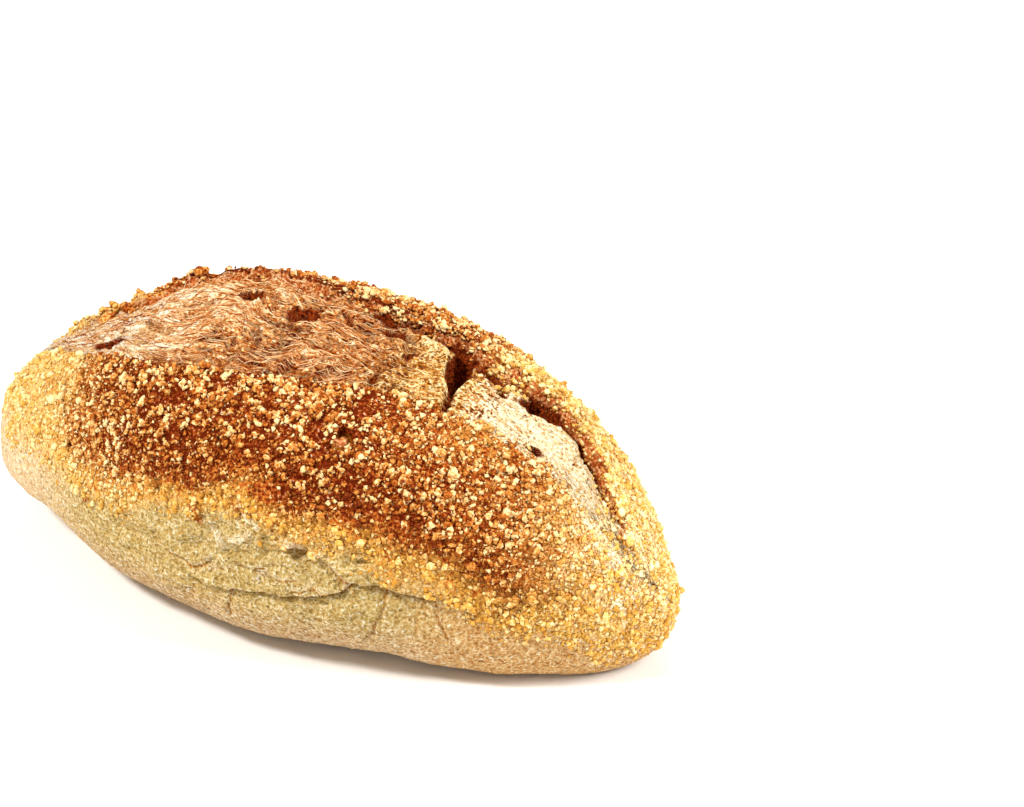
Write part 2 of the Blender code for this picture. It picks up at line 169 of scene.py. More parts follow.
# Folds and cracks of the sides, as (points in x and z, depth, half width, overhang of the dough above).
NEAR_TEAR = (
    (-13.5, 22), (-6.1, 22.4), (-2.3, 22.2), (0.6, 24), (5.5, 24.8), (10.6, 25.2), (13.1, 24.8), (17.7, 26.5),
    (23.6, 27.6), (29, 29.9), (31.8, 32.2), (37.6, 31.6), (40.7, 30.2), (48.5, 29.3), (51.5, 30),
)
NEAR_FOLDS = (
    (((13.9, 38.3), (19.7, 37.7), (22.5, 37.6), (24.5, 36.3), (27.3, 34.4), (31.8, 32.4)), 1.5, 0.8, 1),
    (((-25.8, 32), (-22.3, 28.8), (-19.5, 27.2), (-13.7, 26), (-10.6, 27.1), (-7.7, 29.7)), 1.2, 0.7, 0.8),
    (((15.5, 28.6), (17.7, 28.9), (20.8, 30.4), (23.4, 29.3), (28.5, 29.6)), 0.8, 0.6, 0.6),
    (((7.4, 30.6), (12.4, 30.4), (16.6, 31.1)), 0.7, 0.5, 0.5),
    (((-7.4, 27.6), (-3, 28.7), (1.5, 31), (7.5, 32.3), (11.1, 33.7)), 0.6, 0.6, 0.6),
    (((-21, 18.2), (-17.9, 18.4), (-14.6, 18), (-13.3, 17)), 0.8, 0.6, 0.6),
    (((-21.2, 15.2), (-17.7, 16.2), (-14.4, 15.4)), 0.7, 0.5, 0.5),
    (((-1.2, 48.4), (0.1, 46.1), (1.9, 43.8)), 0.8, 0.6, 0.4),
    (((-2.3, 21.6), (-2.6, 18.2), (-3.9, 15.3), (-3.7, 12.6)), 0.9, 0.5, 0),
    (
        ((38.9, 29.7), (38.7, 26.9), (37.8, 23.7), (36.6, 20), (35.8, 17.3), (33.7, 14.9), (32.4, 12)),
        0.9, 0.5, 0.2,
    ),
    (((50.5, 29.4), (51.2, 27.1), (50.9, 24.7), (52, 21.7), (53.9, 17.2)), 0.8, 0.5, 0.2),
    (((45.2, 22.8), (46, 19), (46.6, 16)), 0.4, 0.5, 0),
    (((15, 20.8), (17.5, 22.6)), 0.7, 0.5, 0),
    (((15.9, 15), (17.3, 12.8)), 0.4, 0.4, 0),
    (((-85.3, 23.8), (-83.8, 23.3), (-82.5, 24.3)), 0.4, 0.4, 0),
    (((-78.2, 28.3), (-77.4, 27.6), (-76.3, 26.4)), 0.4, 0.4, 0),
)
# Scraps of pale dough on the near side, as (points in x and z, height, half width).
NEAR_SCRAPS = (
    (((-7, 40.3), (-4.8, 38), (-3.9, 35.4)), 0.9, 1.2),
    (((-1, 37.4), (1.6, 38.4), (4.4, 40.6)), 0.9, 1.1),
    (((0.4, 47), (1.6, 45), (3.5, 44), (5.9, 42.6)), 0.6, 0.7),
    (((14, 40.4), (17.3, 40.2)), 0.7, 0.9),
    (((7, 30.6), (8.6, 31.8)), 0.6, 0.9),
)
# Crumbs of crust baked onto the near side, as (x, z, radius, height).
NEAR_CRUMBS = (
    (-12.6, 42.6, 2.5, 1.5),
    (-11.2, 40.6, 1.4, 0.7),
    (-51, 30.5, 1.6, 0.8),
    (-0.5, 46.4, 1, 0.6),
    (21, 64.5, 1.8, 2),
)
FAR_TEAR = ((-36, 31), (-24, 30.4), (-12, 31.4), (0, 30.8), (13, 31.8), (24, 30.6), (35, 31.6))
FAR_FOLDS = (
    (((-30, 36), (-21, 34.6), (-12, 36.4), (-4, 35.6)), 1, 0.7, 0.8),
    (((8, 26.6), (17, 25), (29, 27.5)), 0.9, 0.6, 0.6),
    (((-10, 29), (-11.5, 20), (-9, 11)), 0.9, 0.5, 0),
    (((26, 28), (28.5, 18), (27, 10)), 0.8, 0.5, 0),
)
FOLD_WOBBLE = ((4, 0.5, 31), (1.6, 0.25, 32))
OFF = 9.0  # a distance that counts as far from any line

# The floury stripe beside the crack's right end, as places of its middle line in x and y.
STRIPE_X = (58, 62, 66.9, 72, 77.3, 82.7, 87, 91)
STRIPE_Y = (-4, -4.5, -6, -7.6, -9.2, -10, -10.4, -9.6)
STRIPE_HALF_WIDTH = 4
FLOURY_DOUGH = (36, 55)  # along the length, where the bare dough turns pale and floury
SMOOTH_DOUGH = (38, 72)  # and the same to the left, where it turns smooth

# Smooth blisters of the crust that hold few grits, as (x, z, half length, half height).
BALD = (
    (7, 52.5, 6.5, 4),
    (0, 63, 5, 4),
    (-22, 57, 3.5, 3),
    (20, 62, 3, 4),
    (25.5, 56.5, 3.5, 2.5),
)

# Where the coat of grits ends on the sides, as a height above the table at the nine sections: for the solid's
# own grits, and for the rest.
GRIT_FLOOR = (30, 34, 35, 37, 45, 39, 23, 13, 12)
COAT_FLOOR = (30, 34, 35, 37, 45, 38.5, 20, 12, 11)

# How brown the crust is at the nine sections, where it is brownest, and how far above the coat's edge.
TOAST = (0, 0.05, 0.3, 0.97, 1, 0.9, 0.51, 0.12, 0.04)
TOAST_RISE = 16
PALE_RIGHT = (25, 50)  # along the length, where it grows paler behind the score and high up

# Spans along the length: of the brownest bare dough beside the far lip, beside the near one and between them,
# of the crust below the near lip, and of the folds of the sides.
FAR_BAKED = (-70, 20, 10)
NEAR_BAKED = (-34, 24, 8)
MIDDLE_BAKED = (-14, 22, 9)
BAKED_REACH = 7  # from a lip
UNDER_LIP_SPAN = (-55, 20, 8)
UNDER_LIP_DROP = (0, 9, 3)  # across the loaf, from the near lip outwards
FOLDED = (-42, 40, 14)

# Spans along the length: of the grits that cross the crack, of the thin coat beside the far lip, of the
# popped grits, of the stretch with fewer fine ones, and of the flap's few strands.
CROSSED = (46, 55, 2)
CROSSED_BAND = (0, 7, 0.5)  # across the loaf, from the far lip into the score
CROSSED_END = (77, 81)  # and from here on to the right end
THIN_COAT = (-96, -14, 6)
THIN_COAT_BAND = (-6.5, 4, 2.5)  # across the loaf, as above
POPPED = (-58, 72, 24)
FEW_FINE = (-52, 60, 24)
FEW_STRANDS = (16, 42, 8)
MORE_COARSE = (50, 75)  # where the coarse grits grow denser
FAR_SPILL = 2.2  # how far grits spill over the far lip

# The largest grits, at the places of the solid's own. Angles are in degrees.
SOLID_GRITS = 118
SOLID_SPACING = 10
SOLID_TRIES = 60
SOLID_REACH = 0.985
SOLID_ARC = (-5, 185)
SOLID_RADIUS = (1.1, 1.75)
SOLID_SEED = 7
SOLID_FLOOR_MARGIN = 2
SOLID_BARE_MARGIN = 0.04
SOLID_BARE_ARC = (35, 155)
SOLID_CHUNKS = 9
LIP_GRITS = 24
LIP_GRIT_THETA = (-44, 62)
LIP_GRIT_SLIP = 1.2
LIP_GRIT_DROP = (1, 6)
LIP_SCRAPS = ((-69.5, -1, 2.6), (-66, 3.5, 2.3), (-47, 14.5, 2.2))

CLUMP_SPREAD = 0.6
CHUNK_JITTER = 0.32
CHUNK_STRETCH = (0.5, 1.35)
SCATTER_GRID = (500, 600)

STRANDS = 3000
STRAND_STEPS = 5
STRAND_STEP = (0.3, 1.5)
STRAND_RADIUS = (0.07, 0.17)
STRAND_TURN = 0.18  # radians off the run of the dough
STRAND_BEND = 0.15  # and from one step to the next
STRAND_LIFT = 0.2
FLOW_STEP = 0.2

# The skin's grid: rows along the length, and columns between one rail and the next.
SKIN_ROWS = 380
FLOOR_RAIL = 52  # degrees
SKIN_COLUMNS = (14, 28, 10, 6, 72, 74, 6, 6, 36, 8)

# Camera, from the outline fitted to the photo, in degrees and metres.
AZIMUTH = 24.58
ELEVATION = 29.9
ROLL = 2.03
DISTANCE = 0.788
AIM_RIGHT = 0.04733
AIM_UP = 0.01657
AIM_HEIGHT = 0.035
LENS = 104
SENSOR = 36

# Lamps, as (name, azimuth, elevation, distance, size, power, colour).
LAMPS = (
    ("key", -38, 48, 1, 0.16, 10.2, (1, 0.98, 0.95)),
    ("fill", 100, 38, 1.1, 0.5, 12.6, (1, 0.99, 0.97)),
    ("front", 15, 12, 1.3, 0.8, 1.5, (1, 0.99, 0.97)),
    ("back", 195, 45, 1.2, 0.5, 2.8, (1, 0.99, 0.97)),
)
WORLD_STRENGTH = 0.36


# ---- the form, as in the solid


def spline(theta, stations, before, after):
    """A smooth curve through the nine sections' values, which go on past the tips to before and after."""
    values = np.array((before, *stations, after))
    place = np.clip((theta + math.pi / 2) / SECTION_STEP, 0, 7.999999)
    first = place.astype(int)
    share = place - first
    a, b, c, d = (values[first + step] for step in range(4))
    bend = 2 * a - 5 * b + 4 * c - d + share * (3 * (b - c) + d - a)
    return b + 0.5 * share * (c - a + share * bend)


def along(theta, stations):
    """A value given at the nine sections, which stays level past the tips."""
    return spline(theta, stations, stations[0], stations[-1])


def half_width(theta):
    """Half the section's width."""
    return np.maximum(spline(theta, HALF_WIDTH, -HALF_WIDTH[1], -HALF_WIDTH[-2]), 0)


def crest_and_sole(theta):
    """Both run on into each other round the tips."""
    return spline(theta, CREST, SOLE[1], SOLE[-2]), spline(theta, SOLE, CREST[1], CREST[-2])


def plain_point(theta, phi):
    """The smooth loaf, before any relief and before it is cut flat underneath."""
    cosine, sine = np.cos(phi), np.sin(phi)
    power = np.where(sine > 0, UPPER_POWER, LOWER_POWER)
    reach = (np.abs(cosine) ** power + np.abs(sine) ** power) ** (-1 / power)
    crest, sole = crest_and_sole(theta)
    waist = sole + WAIST * (crest - sole)
    height = np.where(sine > 0, crest - waist, waist - sole)
    x = LENGTH / 2 * np.sin(theta)
    y = half_width(theta) * reach * cosine
    z = waist + height * reach * sine
    return np.stack(np.broadcast_arrays(x, y, z), axis=-1)


def unit(vectors):
    """The same directions, one long."""
    return vectors / np.maximum(np.linalg.norm(vectors, axis=-1, keepdims=True), 1e-9)


def directions(theta, phi):
    """The outward direction, and the direction in which phi grows, on the smooth loaf."""
    step = 1e-3
    theta = np.clip(theta, TIP_MARGIN - math.pi / 2, math.pi / 2 - TIP_MARGIN)
    lengthwise = plain_point(theta + step, phi) - plain_point(theta - step, phi)
    around = plain_point(theta, phi + step) - plain_point(theta, phi - step)
    return unit(np.cross(around, lengthwise)), unit(around)


def angle_of(share):
    """The section angle of a point on the upper side, from its share of the half width."""
    share = np.clip(share, -0.95, 0.95)
    far = np.maximum(np.abs(share), 1e-4)
    angle = np.arctan((far**-UPPER_POWER - 1) ** (1 / UPPER_POWER))
    return np.where(share > 0, angle, math.pi - angle)


def theta_at(x):
    """The theta of a place along the length."""
    return np.arcsin(x * 2 / LENGTH)


def xyz(points):
    """The three coordinates of points, one by one."""
    return points[..., 0], points[..., 1], points[..., 2]


def lumps(points, size, seed):
    """Smooth noise from -1 to 1, with bumps about size across."""
    table = np.random.default_rng(seed).uniform(-1, 1, (LUMP_CELLS,) * 3)
    place = points / size
    corner = np.floor(place).astype(int)
    share = place - corner
    share = share * share * (3 - 2 * share)
    total = 0
    for step in np.ndindex(2, 2, 2):
        value = table[xyz((corner + step) % LUMP_CELLS)]
        total = total + value * np.abs(1 - np.array(step) - share).prod(axis=-1)
    return total


def bell(distance, reach):
    """1 at no distance, and falling smoothly to nothing at about twice the reach."""
    return np.exp(-((distance / reach) ** 2))


def step_up(value, start, end):
    """0 up to start, 1 from end, and smooth between."""
    share = np.clip((value - start) / (end - start), 0, 1)
    return share * share * (3 - 2 * share)


def window(value, start, end, fade):
    """1 inside the span, 0 outside it, and smooth at both ends."""
    return step_up(value, start - fade, start + fade) * (1 - step_up(value, end - fade, end + fade))


def lips(theta):
    """How far across the loaf the near and the far lip are."""
    width = np.maximum(half_width(theta), 1)
    return along(theta, NEAR_LIP) * width, along(theta, FAR_LIP) * width


def rails(theta):
    """The section angles of the loft's rails, in order round the section from the floor on the far side."""
    far_lip = along(theta, FAR_LIP)
    gully = along(theta, GULLY_WIDTH) / np.maximum(half_width(theta), 1)
    rim = far_lip - gully
    tear = np.radians(along(theta, TEAR_ANGLE))
    gap = math.radians(TEAR_HALF_GAP)
    floor = math.radians(FLOOR_RAIL)
    level = np.zeros_like(theta)
    return (
        level - floor,
        level + math.radians(FAR_TEAR_ANGLE),
        angle_of(far_lip),
        angle_of(far_lip - GULLY_FLOOR * gully),
        angle_of(rim),
        angle_of(np.minimum(along(theta, NEAR_LIP), rim - LEAST_BARE)),
        tear - gap,
        tear,
        tear + gap,
        level + math.pi + floor,
        level + 2 * math.pi - floor,
    )


# ---- relief


def ridged(points, size, seed):
    """Noise round 0, mostly from -1 to 1, with sharp crests."""
    return 1.6 * (0.55 - 2 * np.abs(lumps(points, np.array(size), seed)))


def warped(points, size, height, seed):
    """The same points, pushed about by smooth noise."""
    push = np.stack([lumps(points, size, seed + axis) for axis in range(3)], axis=-1)
    return points + height * push


def score_relief(theta, point):
    """The score: how far it stands out and leans, the distance inside it, its gully's depth and its wall."""
    x, y, z = xyz(point)
    near, far = lips(theta)
    on_top = z > crest_and_sole(theta)[0] * SCORE_FLOOR
    depth = along(theta, GULLY_DEPTH)
    opened = step_up(depth, 0, 1)
    for start, end in BRIDGES:
        depth = depth * (1 - BRIDGE_FILL * window(x + BRIDGE_SLANT * y, start, end, BRIDGE_FADE))
    ragged = 1.2 * lumps(point, 6, 41) + 0.8 * lumps(point, 2.4, 42) + 0.5 * lumps(point, 1.3, 48)
    gully = along(theta, GULLY_WIDTH)
    floor = GULLY_FLOOR * gully
    past_lip = far - y + ragged * opened
    past_near = y - near
    down = step_up(past_lip, 0, floor) * (1 - step_up(past_lip, floor, gully))
    lip = bell(np.minimum(past_lip, 0), LIP_REACH) * (1 - step_up(past_lip, 0, floor))
    rim = bell(np.maximum(past_lip - gully, 0), RIM_REACH) * step_up(past_lip, floor, gully)
    bare = step_up(past_near, 0, STEP_REACH) * (past_lip > 0)
    stretch, ridge_height, seed = RIDGES
    ridges = ridge_height * lumps(point, np.array(stretch), seed) - NEAR_STEP
    uneven = 1 + 0.5 * lumps(point, 7, 43)
    crags = opened * (down + lip) * (1.1 * lumps(point, 3.2, 49) + 0.8 * lumps(point, 1.7, 50))
    out = lip * along(theta, LIP_HEIGHT) * uneven - down * depth * uneven + crags
    out = out + opened * (bare * ridges - rim * RIM_DROP)
    inside = np.where(on_top, np.minimum(past_near, past_lip), -OFF)
    bare_lip = CRACK_BARE * window(x, *CRACK)
    wall = opened * window(past_lip, -bare_lip, floor, 0.4) * on_top
    return out * on_top, lip * along(theta, LIP_LEAN) * on_top, inside, down * depth * on_top, wall


def inside_far(theta, point):
    """How far a place lies past the far lip, into the score."""
    return lips(theta)[1] - point[..., 1]


def past_near_lip(theta, point):
    """How far a place lies past the near lip, into the score."""
    return point[..., 1] - lips(theta)[0]


def baked(theta, point):
    """How brown the bare dough is: most beside both lips, and right of the craters up to the flap."""
    x = point[..., 0]
    beside_far = bell(inside_far(theta, point), BAKED_REACH) * window(x, *FAR_BAKED)
    beside_near = bell(past_near_lip(theta, point), BAKED_REACH) * window(x, *NEAR_BAKED)
    patches = 0.6 * window(x, *MIDDLE_BAKED) + 0.35 * lumps(point, 9, 57)
    return np.clip(0.26 + 0.7 * beside_far + 0.4 * beside_near + patches, 0, 1)


def flap_relief(point):
    """A low slope that rises towards the flap's edge and drops sharply past it."""
    (x0, y0), (x1, y1) = FLAP_EDGE
    x, y, z = xyz(point)
    edge = x0 + (x1 - x0) * (y - y0) / (y1 - y0)
    past = x - edge + 0.7 * lumps(point, 3, 46)
    slope = np.clip(1 + past / FLAP_WIDTH, 0, 1) ** 2
    drop = 1 - step_up(past, -FLAP_EDGE_SOFTNESS, FLAP_EDGE_SOFTNESS)
    return FLAP_HEIGHT * slope * drop * window(y, y1, y0, FLAP_END_SOFTNESS) * (z > FLAP_FLOOR)


def pocket_places():
    """(theta, phi, radii, depth of the centre, turn) of every pocket."""
    for x, y, *rest in POCKETS:
        theta = theta_at(x)
        yield theta, angle_of(y / half_width(theta)), *rest
    near_side = np.radians(np.arange(90, 215))
    for x, z, *rest in SIDE_POCKETS:
        theta = theta_at(x)
        yield theta, near_side[np.argmin(np.abs(plain_point(theta, near_side)[:, 2] - z))], *rest


def pocket_relief(point):
    """The pockets: how far their low rims stand out, how deep they go, and 1 in their mouths, for painted
    shade.
    """
    rim, depth, opening = np.zeros((3, *point.shape[:-1]))
    uneven = 0.16 * lumps(point, 2.6, 47)
    for theta, phi, (long, wide, deep), sink, turn in pocket_places():
        outward, around = directions(theta, phi)
        away = point - plain_point(theta, phi)
        u, v = away @ np.cross(around, outward), away @ around
        cosine, sine = math.cos(math.radians(turn)), math.sin(math.radians(turn))
        distance = np.hypot((u * cosine + v * sine) / long, (v * cosine - u * sine) / wide) + uneven
        distance = np.where(np.linalg.norm(away, axis=-1) < 3 * max(long, wide), distance, OFF)
        mouth = math.sqrt(max(1 - (sink / deep) ** 2, 0.04))
        hollow = sink + deep * np.sqrt(np.clip(1 - distance**2, 0, 1))
        depth = np.maximum(depth, hollow * (1 - step_up(distance, mouth - 0.35, mouth + 0.12)))
        rim = np.maximum(rim, POCKET_RIM * bell(distance - mouth - 0.2, 0.25))
        opening = np.maximum(opening, 1 - step_up(distance, mouth, mouth + POCKET_EDGE / min(long, wide)))
    return rim, depth, opening


def line_distance(u, v, corners):
    """How far (u, v) is from a broken line, and the same with a sign, plus to the left of its run."""
    nearest = np.full(u.shape, OFF)
    side = nearest
    for (u0, v0), (u1, v1) in zip(corners, corners[1:]):
        du, dv = u1 - u0, v1 - v0
        share = np.clip(((u - u0) * du + (v - v0) * dv) / (du * du + dv * dv), 0, 1)
        distance = np.hypot(u - u0 - share * du, v - v0 - share * dv)
        above = np.where(du * (v - v0) - dv * (u - u0) > 0, distance, -distance)
        side = np.where(distance < nearest, above, side)
        nearest = np.minimum(nearest, distance)
    return nearest, side


def wobbled(point, first, second):
    """Two of the point's coordinates, pushed about a little, so that drawn lines turn out uneven."""
    u, v = point[..., first], point[..., second]
    for size, height, seed in FOLD_WOBBLE:
        u = u + height * lumps(point, size, seed)
        v = v + height * lumps(point, size, seed + 50)
    return u, v


def slit_relief(point):
    """The slits and ridges of the score: how deep they go, and how far it is to the nearest slit."""
    x, y = wobbled(point, 0, 1)
    depth = np.zeros(x.shape)
    nearest = np.full(x.shape, OFF)
    for corners, deep, reach in SCORE_SLITS:
        distance = np.where(point[..., 2] > FLAP_FLOOR, line_distance(x, y, corners)[0], OFF)
        depth = depth + deep * bell(distance, reach)
        if deep > 0:
            nearest = np.minimum(nearest, distance + 0.3)
    return depth, nearest


def tear_relief(phi, point):
    """Both sides' tears: how far they stand out and lean, the distance to them and how pale they are."""
    x, z = wobbled(point, 0, 2)
    near_side = phi > math.pi / 2
    near, above_near = line_distance(x, z, NEAR_TEAR)
    near = np.where(near_side, near, OFF)
    far = np.where(near_side, OFF, line_distance(x, z, FAR_TEAR)[0])
    beside, beside_far = window(x, *TEAR_SPAN) * near_side, window(x, *FAR_TEAR_SPAN)
    bulge, lean = (size * bell(-above_near - place, reach) for size, place, reach in (TEAR_BULGE, TEAR_LEAN))
    out = beside * (bulge - TEAR_DEPTH * bell(near, TEAR_REACH))
    out = out - beside_far * FAR_TEAR_DEPTH * bell(far, FAR_TEAR_REACH)
    line = np.minimum(near + 3 * (1 - beside), far + 3 * (1 - beside_far))
    return out, beside * lean, line, beside * bell(above_near - 1.1, 0.7)


def fold_relief(phi, point):
    """The folds, cracks, scraps and crumbs of both sides: how far they stand out, the distance to the
    nearest, how pale they are, and 1 on the crumbs."""
    x, z = wobbled(point, 0, 2)
    out, pale, crumb = np.zeros((3, *x.shape))
    nearest = np.full(x.shape, OFF)
    near_side = phi > math.pi / 2
    for folds, side in ((NEAR_FOLDS, near_side), (FAR_FOLDS, ~near_side)):
        for corners, deep, reach, overhang in folds:
            distance, above = (np.where(side, away, OFF) for away in line_distance(x, z, corners))
            out = out - deep * bell(distance, reach) + overhang * bell(above - 1.6, 1.4)
            pale = np.maximum(pale, overhang * bell(above - 0.8, 0.6))
            nearest = np.minimum(nearest, distance + 0.12 / deep)
    for middle_x, middle_z, radius, height in NEAR_CRUMBS:
        distance = np.where(near_side, np.hypot(x - middle_x, z - middle_z), OFF)
        on_crumb = 1 - step_up(distance, 0.7 * radius, radius)
        crumb = np.maximum(crumb, on_crumb)
        out = out + height * on_crumb
        nearest = np.minimum(nearest, np.abs(distance - radius) + 0.15)
    for corners, height, reach in NEAR_SCRAPS:
        distance = line_distance(x, z, corners)[0]
        scrap = np.where(near_side, 1 - step_up(distance, reach * 0.7, reach), 0)
        out = out + height * scrap
        pale = np.maximum(pale, scrap)
    return out, nearest, pale, crumb


def coat_edge(theta, point):
    """How far above the coat's lower edge a place is."""
    ragged = 4 * lumps(point, 13, 51) + 2 * lumps(point, 5, 52)
    return point[..., 2] - along(theta, COAT_FLOOR) + ragged


def under_near_lip(theta, point):
    """1 on the crust just below the near lip, over the left half of the length, and 0 off it."""
    return window(-past_near_lip(theta, point), *UNDER_LIP_DROP) * window(point[..., 0], *UNDER_LIP_SPAN)


def bald_spots(point):
    """1 in the middle of a blister that holds few grits, and 0 off it."""
    x, y, z = xyz(point)
    bald = np.zeros(x.shape)
    for middle_x, middle_z, long, high in BALD:
        distance = np.hypot((x - middle_x) / long, (z - middle_z) / high) + 0.2 * lumps(point, 3, 55)
        bald = np.maximum(bald, (1 - step_up(distance, 0.6, 1)) * (y < 0))
    return bald


def browning(theta, point):
    """How brown the crust is, from 0 to 1: least at the ends, low down, and on the right behind the score."""
    x, y, z = xyz(point)
    rise = step_up(coat_edge(theta, point), -2, TOAST_RISE)
    patches = 0.1 * lumps(point, 16, 53) + 0.08 * lumps(point, 6, 54)
    pale = step_up(x, *PALE_RIGHT) * np.maximum(0.75 * step_up(y, -2, 6), 0.6 * step_up(z, 56, 66))
    brown = (along(theta, TOAST) * (1 - pale) + patches) * rise
    return np.clip(brown + 0.2 * bald_spots(point) + 0.3 * under_near_lip(theta, point), 0, 1)


def drawn_place(theta, point):
    """The point drawn along the score and bent, so that noise there follows the run of the dough."""
    x, y, z = xyz(point)
    near, far = lips(theta)
    share = (y - near) / np.maximum(far - near, 2)
    level = np.stack([x, SCORE_WIDTH * share, 0.3 * z], axis=-1)
    return warped(warped(level, 13, 3.6, 61), 4, 0.8, 68)


def bare_relief(drawn, point):
    """The stretched dough of the score: lengthwise strands, threads, folds and crumb."""
    strands = ridged(drawn, (9, 2.8, 9), 64)
    threads = ridged(drawn, (3.6, 1.5, 5), 65)
    folds = lumps(drawn, np.array((13, 4.5, 9)), 66)
    crumb = lumps(point, 1.4, 67)
    x = point[..., 0]
    rough = 1 - 0.6 * step_up(x, *FLOURY_DOUGH) - 0.45 * step_up(-x, *SMOOTH_DOUGH)
    return (0.6 * strands + 0.45 * threads + 0.85 * folds + 0.2 * crumb) * rough


def flour_relief(point):
    """The floury dough under the coat: wrinkles that run along the loaf."""
    bent = warped(point, 9, 2.2, 71)
    wrinkles = ridged(bent, (11, 11, 3.4), 74)
    flakes = ridged(bent, (4.2, 4.2, 2.2), 75)
    return 0.65 * wrinkles + 0.42 * flakes + 0.18 * lumps(point, 1.4, 76)


def crust_relief(point):
    """The blistered crust between the grits."""
    return 0.34 * lumps(point, 3.4, 81) + 0.42 * lumps(point, 1.6, 82)


def stripe(point):
    """1 on the floury stripe of dough beside the crack's right end, and 0 off it."""
    x, y, z = xyz(point)
    middle = np.interp(x, STRIPE_X, STRIPE_Y) + 0.8 * lumps(point, 5, 56)
    across = 1 - step_up(np.abs(y - middle), STRIPE_HALF_WIDTH - 1.5, STRIPE_HALF_WIDTH + 1.5)
    return across * window(x, STRIPE_X[0], STRIPE_X[-1], 4) * (z > 20)


def skin(theta, phi):
    """The loaf's surface with all its relief, and what its material reads there."""
    plain = plain_point(theta, phi)
    x, y, z = xyz(plain)
    outward, around = directions(theta, phi)
    out, lean, inside, gully, lip = score_relief(theta, plain)
    tear_out, tear_lean, tear_line, tear_pale = tear_relief(phi, plain)
    pocket_rim, pocket_depth, opening = pocket_relief(plain)
    slit_depth, slit_line = slit_relief(plain)
    fold_out, fold_line, fold_pale, crumb = fold_relief(phi, plain)
    edge = coat_edge(theta, plain)
    bare = step_up(inside, -0.6, 0.6)
    flour = (1 - step_up(edge, -4, 3)) * (1 - bare)
    drawn = drawn_place(theta, plain)
    dough = bare * bare_relief(drawn, plain)
    wrinkles = flour * step_up(z, 14, 26) * window(x, *FOLDED) * flour_relief(plain)
    crust = (1 - bare) * crust_relief(plain) * (1 - 0.6 * flour)
    out = out + tear_out + flap_relief(plain) + pocket_rim - pocket_depth - slit_depth + fold_out
    for size, height, seed in LUMPS:
        out = out + height * lumps(plain, size, seed)
    out = out + (1 - step_up(pocket_depth + gully, 0.5, 3)) * (dough + wrinkles + crust)
    notch = window(x, *NOTCH_SPAN) * (1 - step_up(y, *NOTCH_LIT))
    # How much painted shade the pockets get: less on the floury sides, in the notch's lower end and on
    # crumbs.
    hollow = (1 - 0.65 * flour) * (1 - 0.96 * notch * bare) * (1 - crumb)
    past_bridge = along(theta, GULLY_WIDTH) - BRIDGE_FLOURY * step_up(1.5 - gully, 0, 1)
    near_gully = step_up(inside_far(theta, plain) - np.maximum(past_bridge, 0), -0.8, 0.6)
    floury = 0.8 * bare * near_gully * step_up(x, *FLOURY_DOUGH)
    point = plain + outward * out[..., None] + around * (lean + tear_lean)[..., None]
    point[..., 2] = np.maximum(point[..., 2], 0)
    marks = {
        "inside": np.clip(inside, -5, 5),
        "edge": np.clip(edge, -20, 30),
        "toast": browning(theta, plain),
        # The depth of the pockets, the gully and the slits, which the crust material paints dark as shade.
        "depth": np.maximum(pocket_depth, 1.6 * opening) * hollow + 0.6 * gully + np.maximum(slit_depth, 0),
        # The distance to the nearest fold, tear or slit, where the crust material paints shade.
        "line": np.clip(np.minimum(np.minimum(fold_line, tear_line), slit_line), 0, 5),
        # The relief that the bare dough's colour follows: lighter on ridges and darker in valleys, as painted
        # light.
        "ridge": dough + wrinkles,
        "browned": bare * baked(theta, plain),
        "wall": np.maximum(lip, 0.9 * crumb),
        "pale": np.clip(np.maximum(tear_pale, fold_pale), 0, 1),
        "floury": np.maximum(stripe(plain), floury),
        "height": z,
        "along": x,
        "drawn": drawn * MM,
    }
    return point + np.array(CENTRING), marks


# ---- meshes


def mesh_piece(name, points, faces, marks, material):
    """A mesh object from arrays of points in mm and faces, with one attribute for each of its marks."""
    mesh = bpy.data.meshes.new(name)
    mesh.from_pydata((points * MM).tolist(), [], faces.tolist(), shade_flat=False)
    mesh.validate()
    for key, values in marks.items():
        kind, field = ("FLOAT_VECTOR", "vector") if key == "drawn" else ("FLOAT", "value")
        attribute = mesh.attributes.new(key, kind, "POINT")
        attribute.data.foreach_set(field, np.asarray(values, dtype=np.float32).ravel())
    mesh.materials.append(material)
    return placed(name, mesh)


def placed(name, data):
    """A new object in the scene."""
    made = bpy.data.objects.new(name, data)
    bpy.context.scene.collection.objects.link(made)
    return made


def skin_rows():
    """Theta of the skin's rows, at even steps along its surface."""
    theta = np.linspace(-math.pi / 2, math.pi / 2, 4001)
    travelled = np.cumsum(np.hypot(LENGTH / 2 * np.cos(theta), 30 * np.sin(theta)))
    wanted = np.linspace(travelled[0], travelled[-1], SKIN_ROWS + 2)[1:-1]
    return np.interp(wanted, travelled, theta)


def with_tips(values):
    """Values in one row for each point of the grid, then their means over its first and last rows."""
    tips = np.stack([values[0].mean(axis=0), values[-1].mean(axis=0)])
    return np.concatenate([values.reshape(-1, *values.shape[2:]), tips])


def build_skin(material):
    """A closed mesh between the rails, with each tip closed by a ring drawn together to a point."""
    theta = skin_rows()
    lines = rails(theta)
    columns = []
    for start, end, count in zip(lines, lines[1:], SKIN_COLUMNS):
        columns += [start + (end - start) * step / count for step in range(count)]
    phi = np.stack(columns, axis=1)
    rows, around = phi.shape
    points, marks = skin(np.broadcast_to(theta[:, None], phi.shape), phi)
    marks = {key: with_tips(values) for key, values in marks.items()}
    index = np.arange(rows * around).reshape(rows, around)
    after = np.roll(index, -1, axis=1)
    quads = np.stack([index[:-1], after[:-1], after[1:], index[1:]], axis=-1).reshape(-1, 4)
    left_fan = np.stack([after[0], index[0], np.full(around, rows * around)], axis=-1)
    right_fan = np.stack([index[-1], after[-1], np.full(around, rows * around + 1)], axis=-1)
    faces = np.concatenate([quads[:, [0, 1, 2]], quads[:, [0, 2, 3]], left_fan, right_fan])
    return mesh_piece("crust", with_tips(points), faces[:, ::-1], marks, material)


# ---- grits


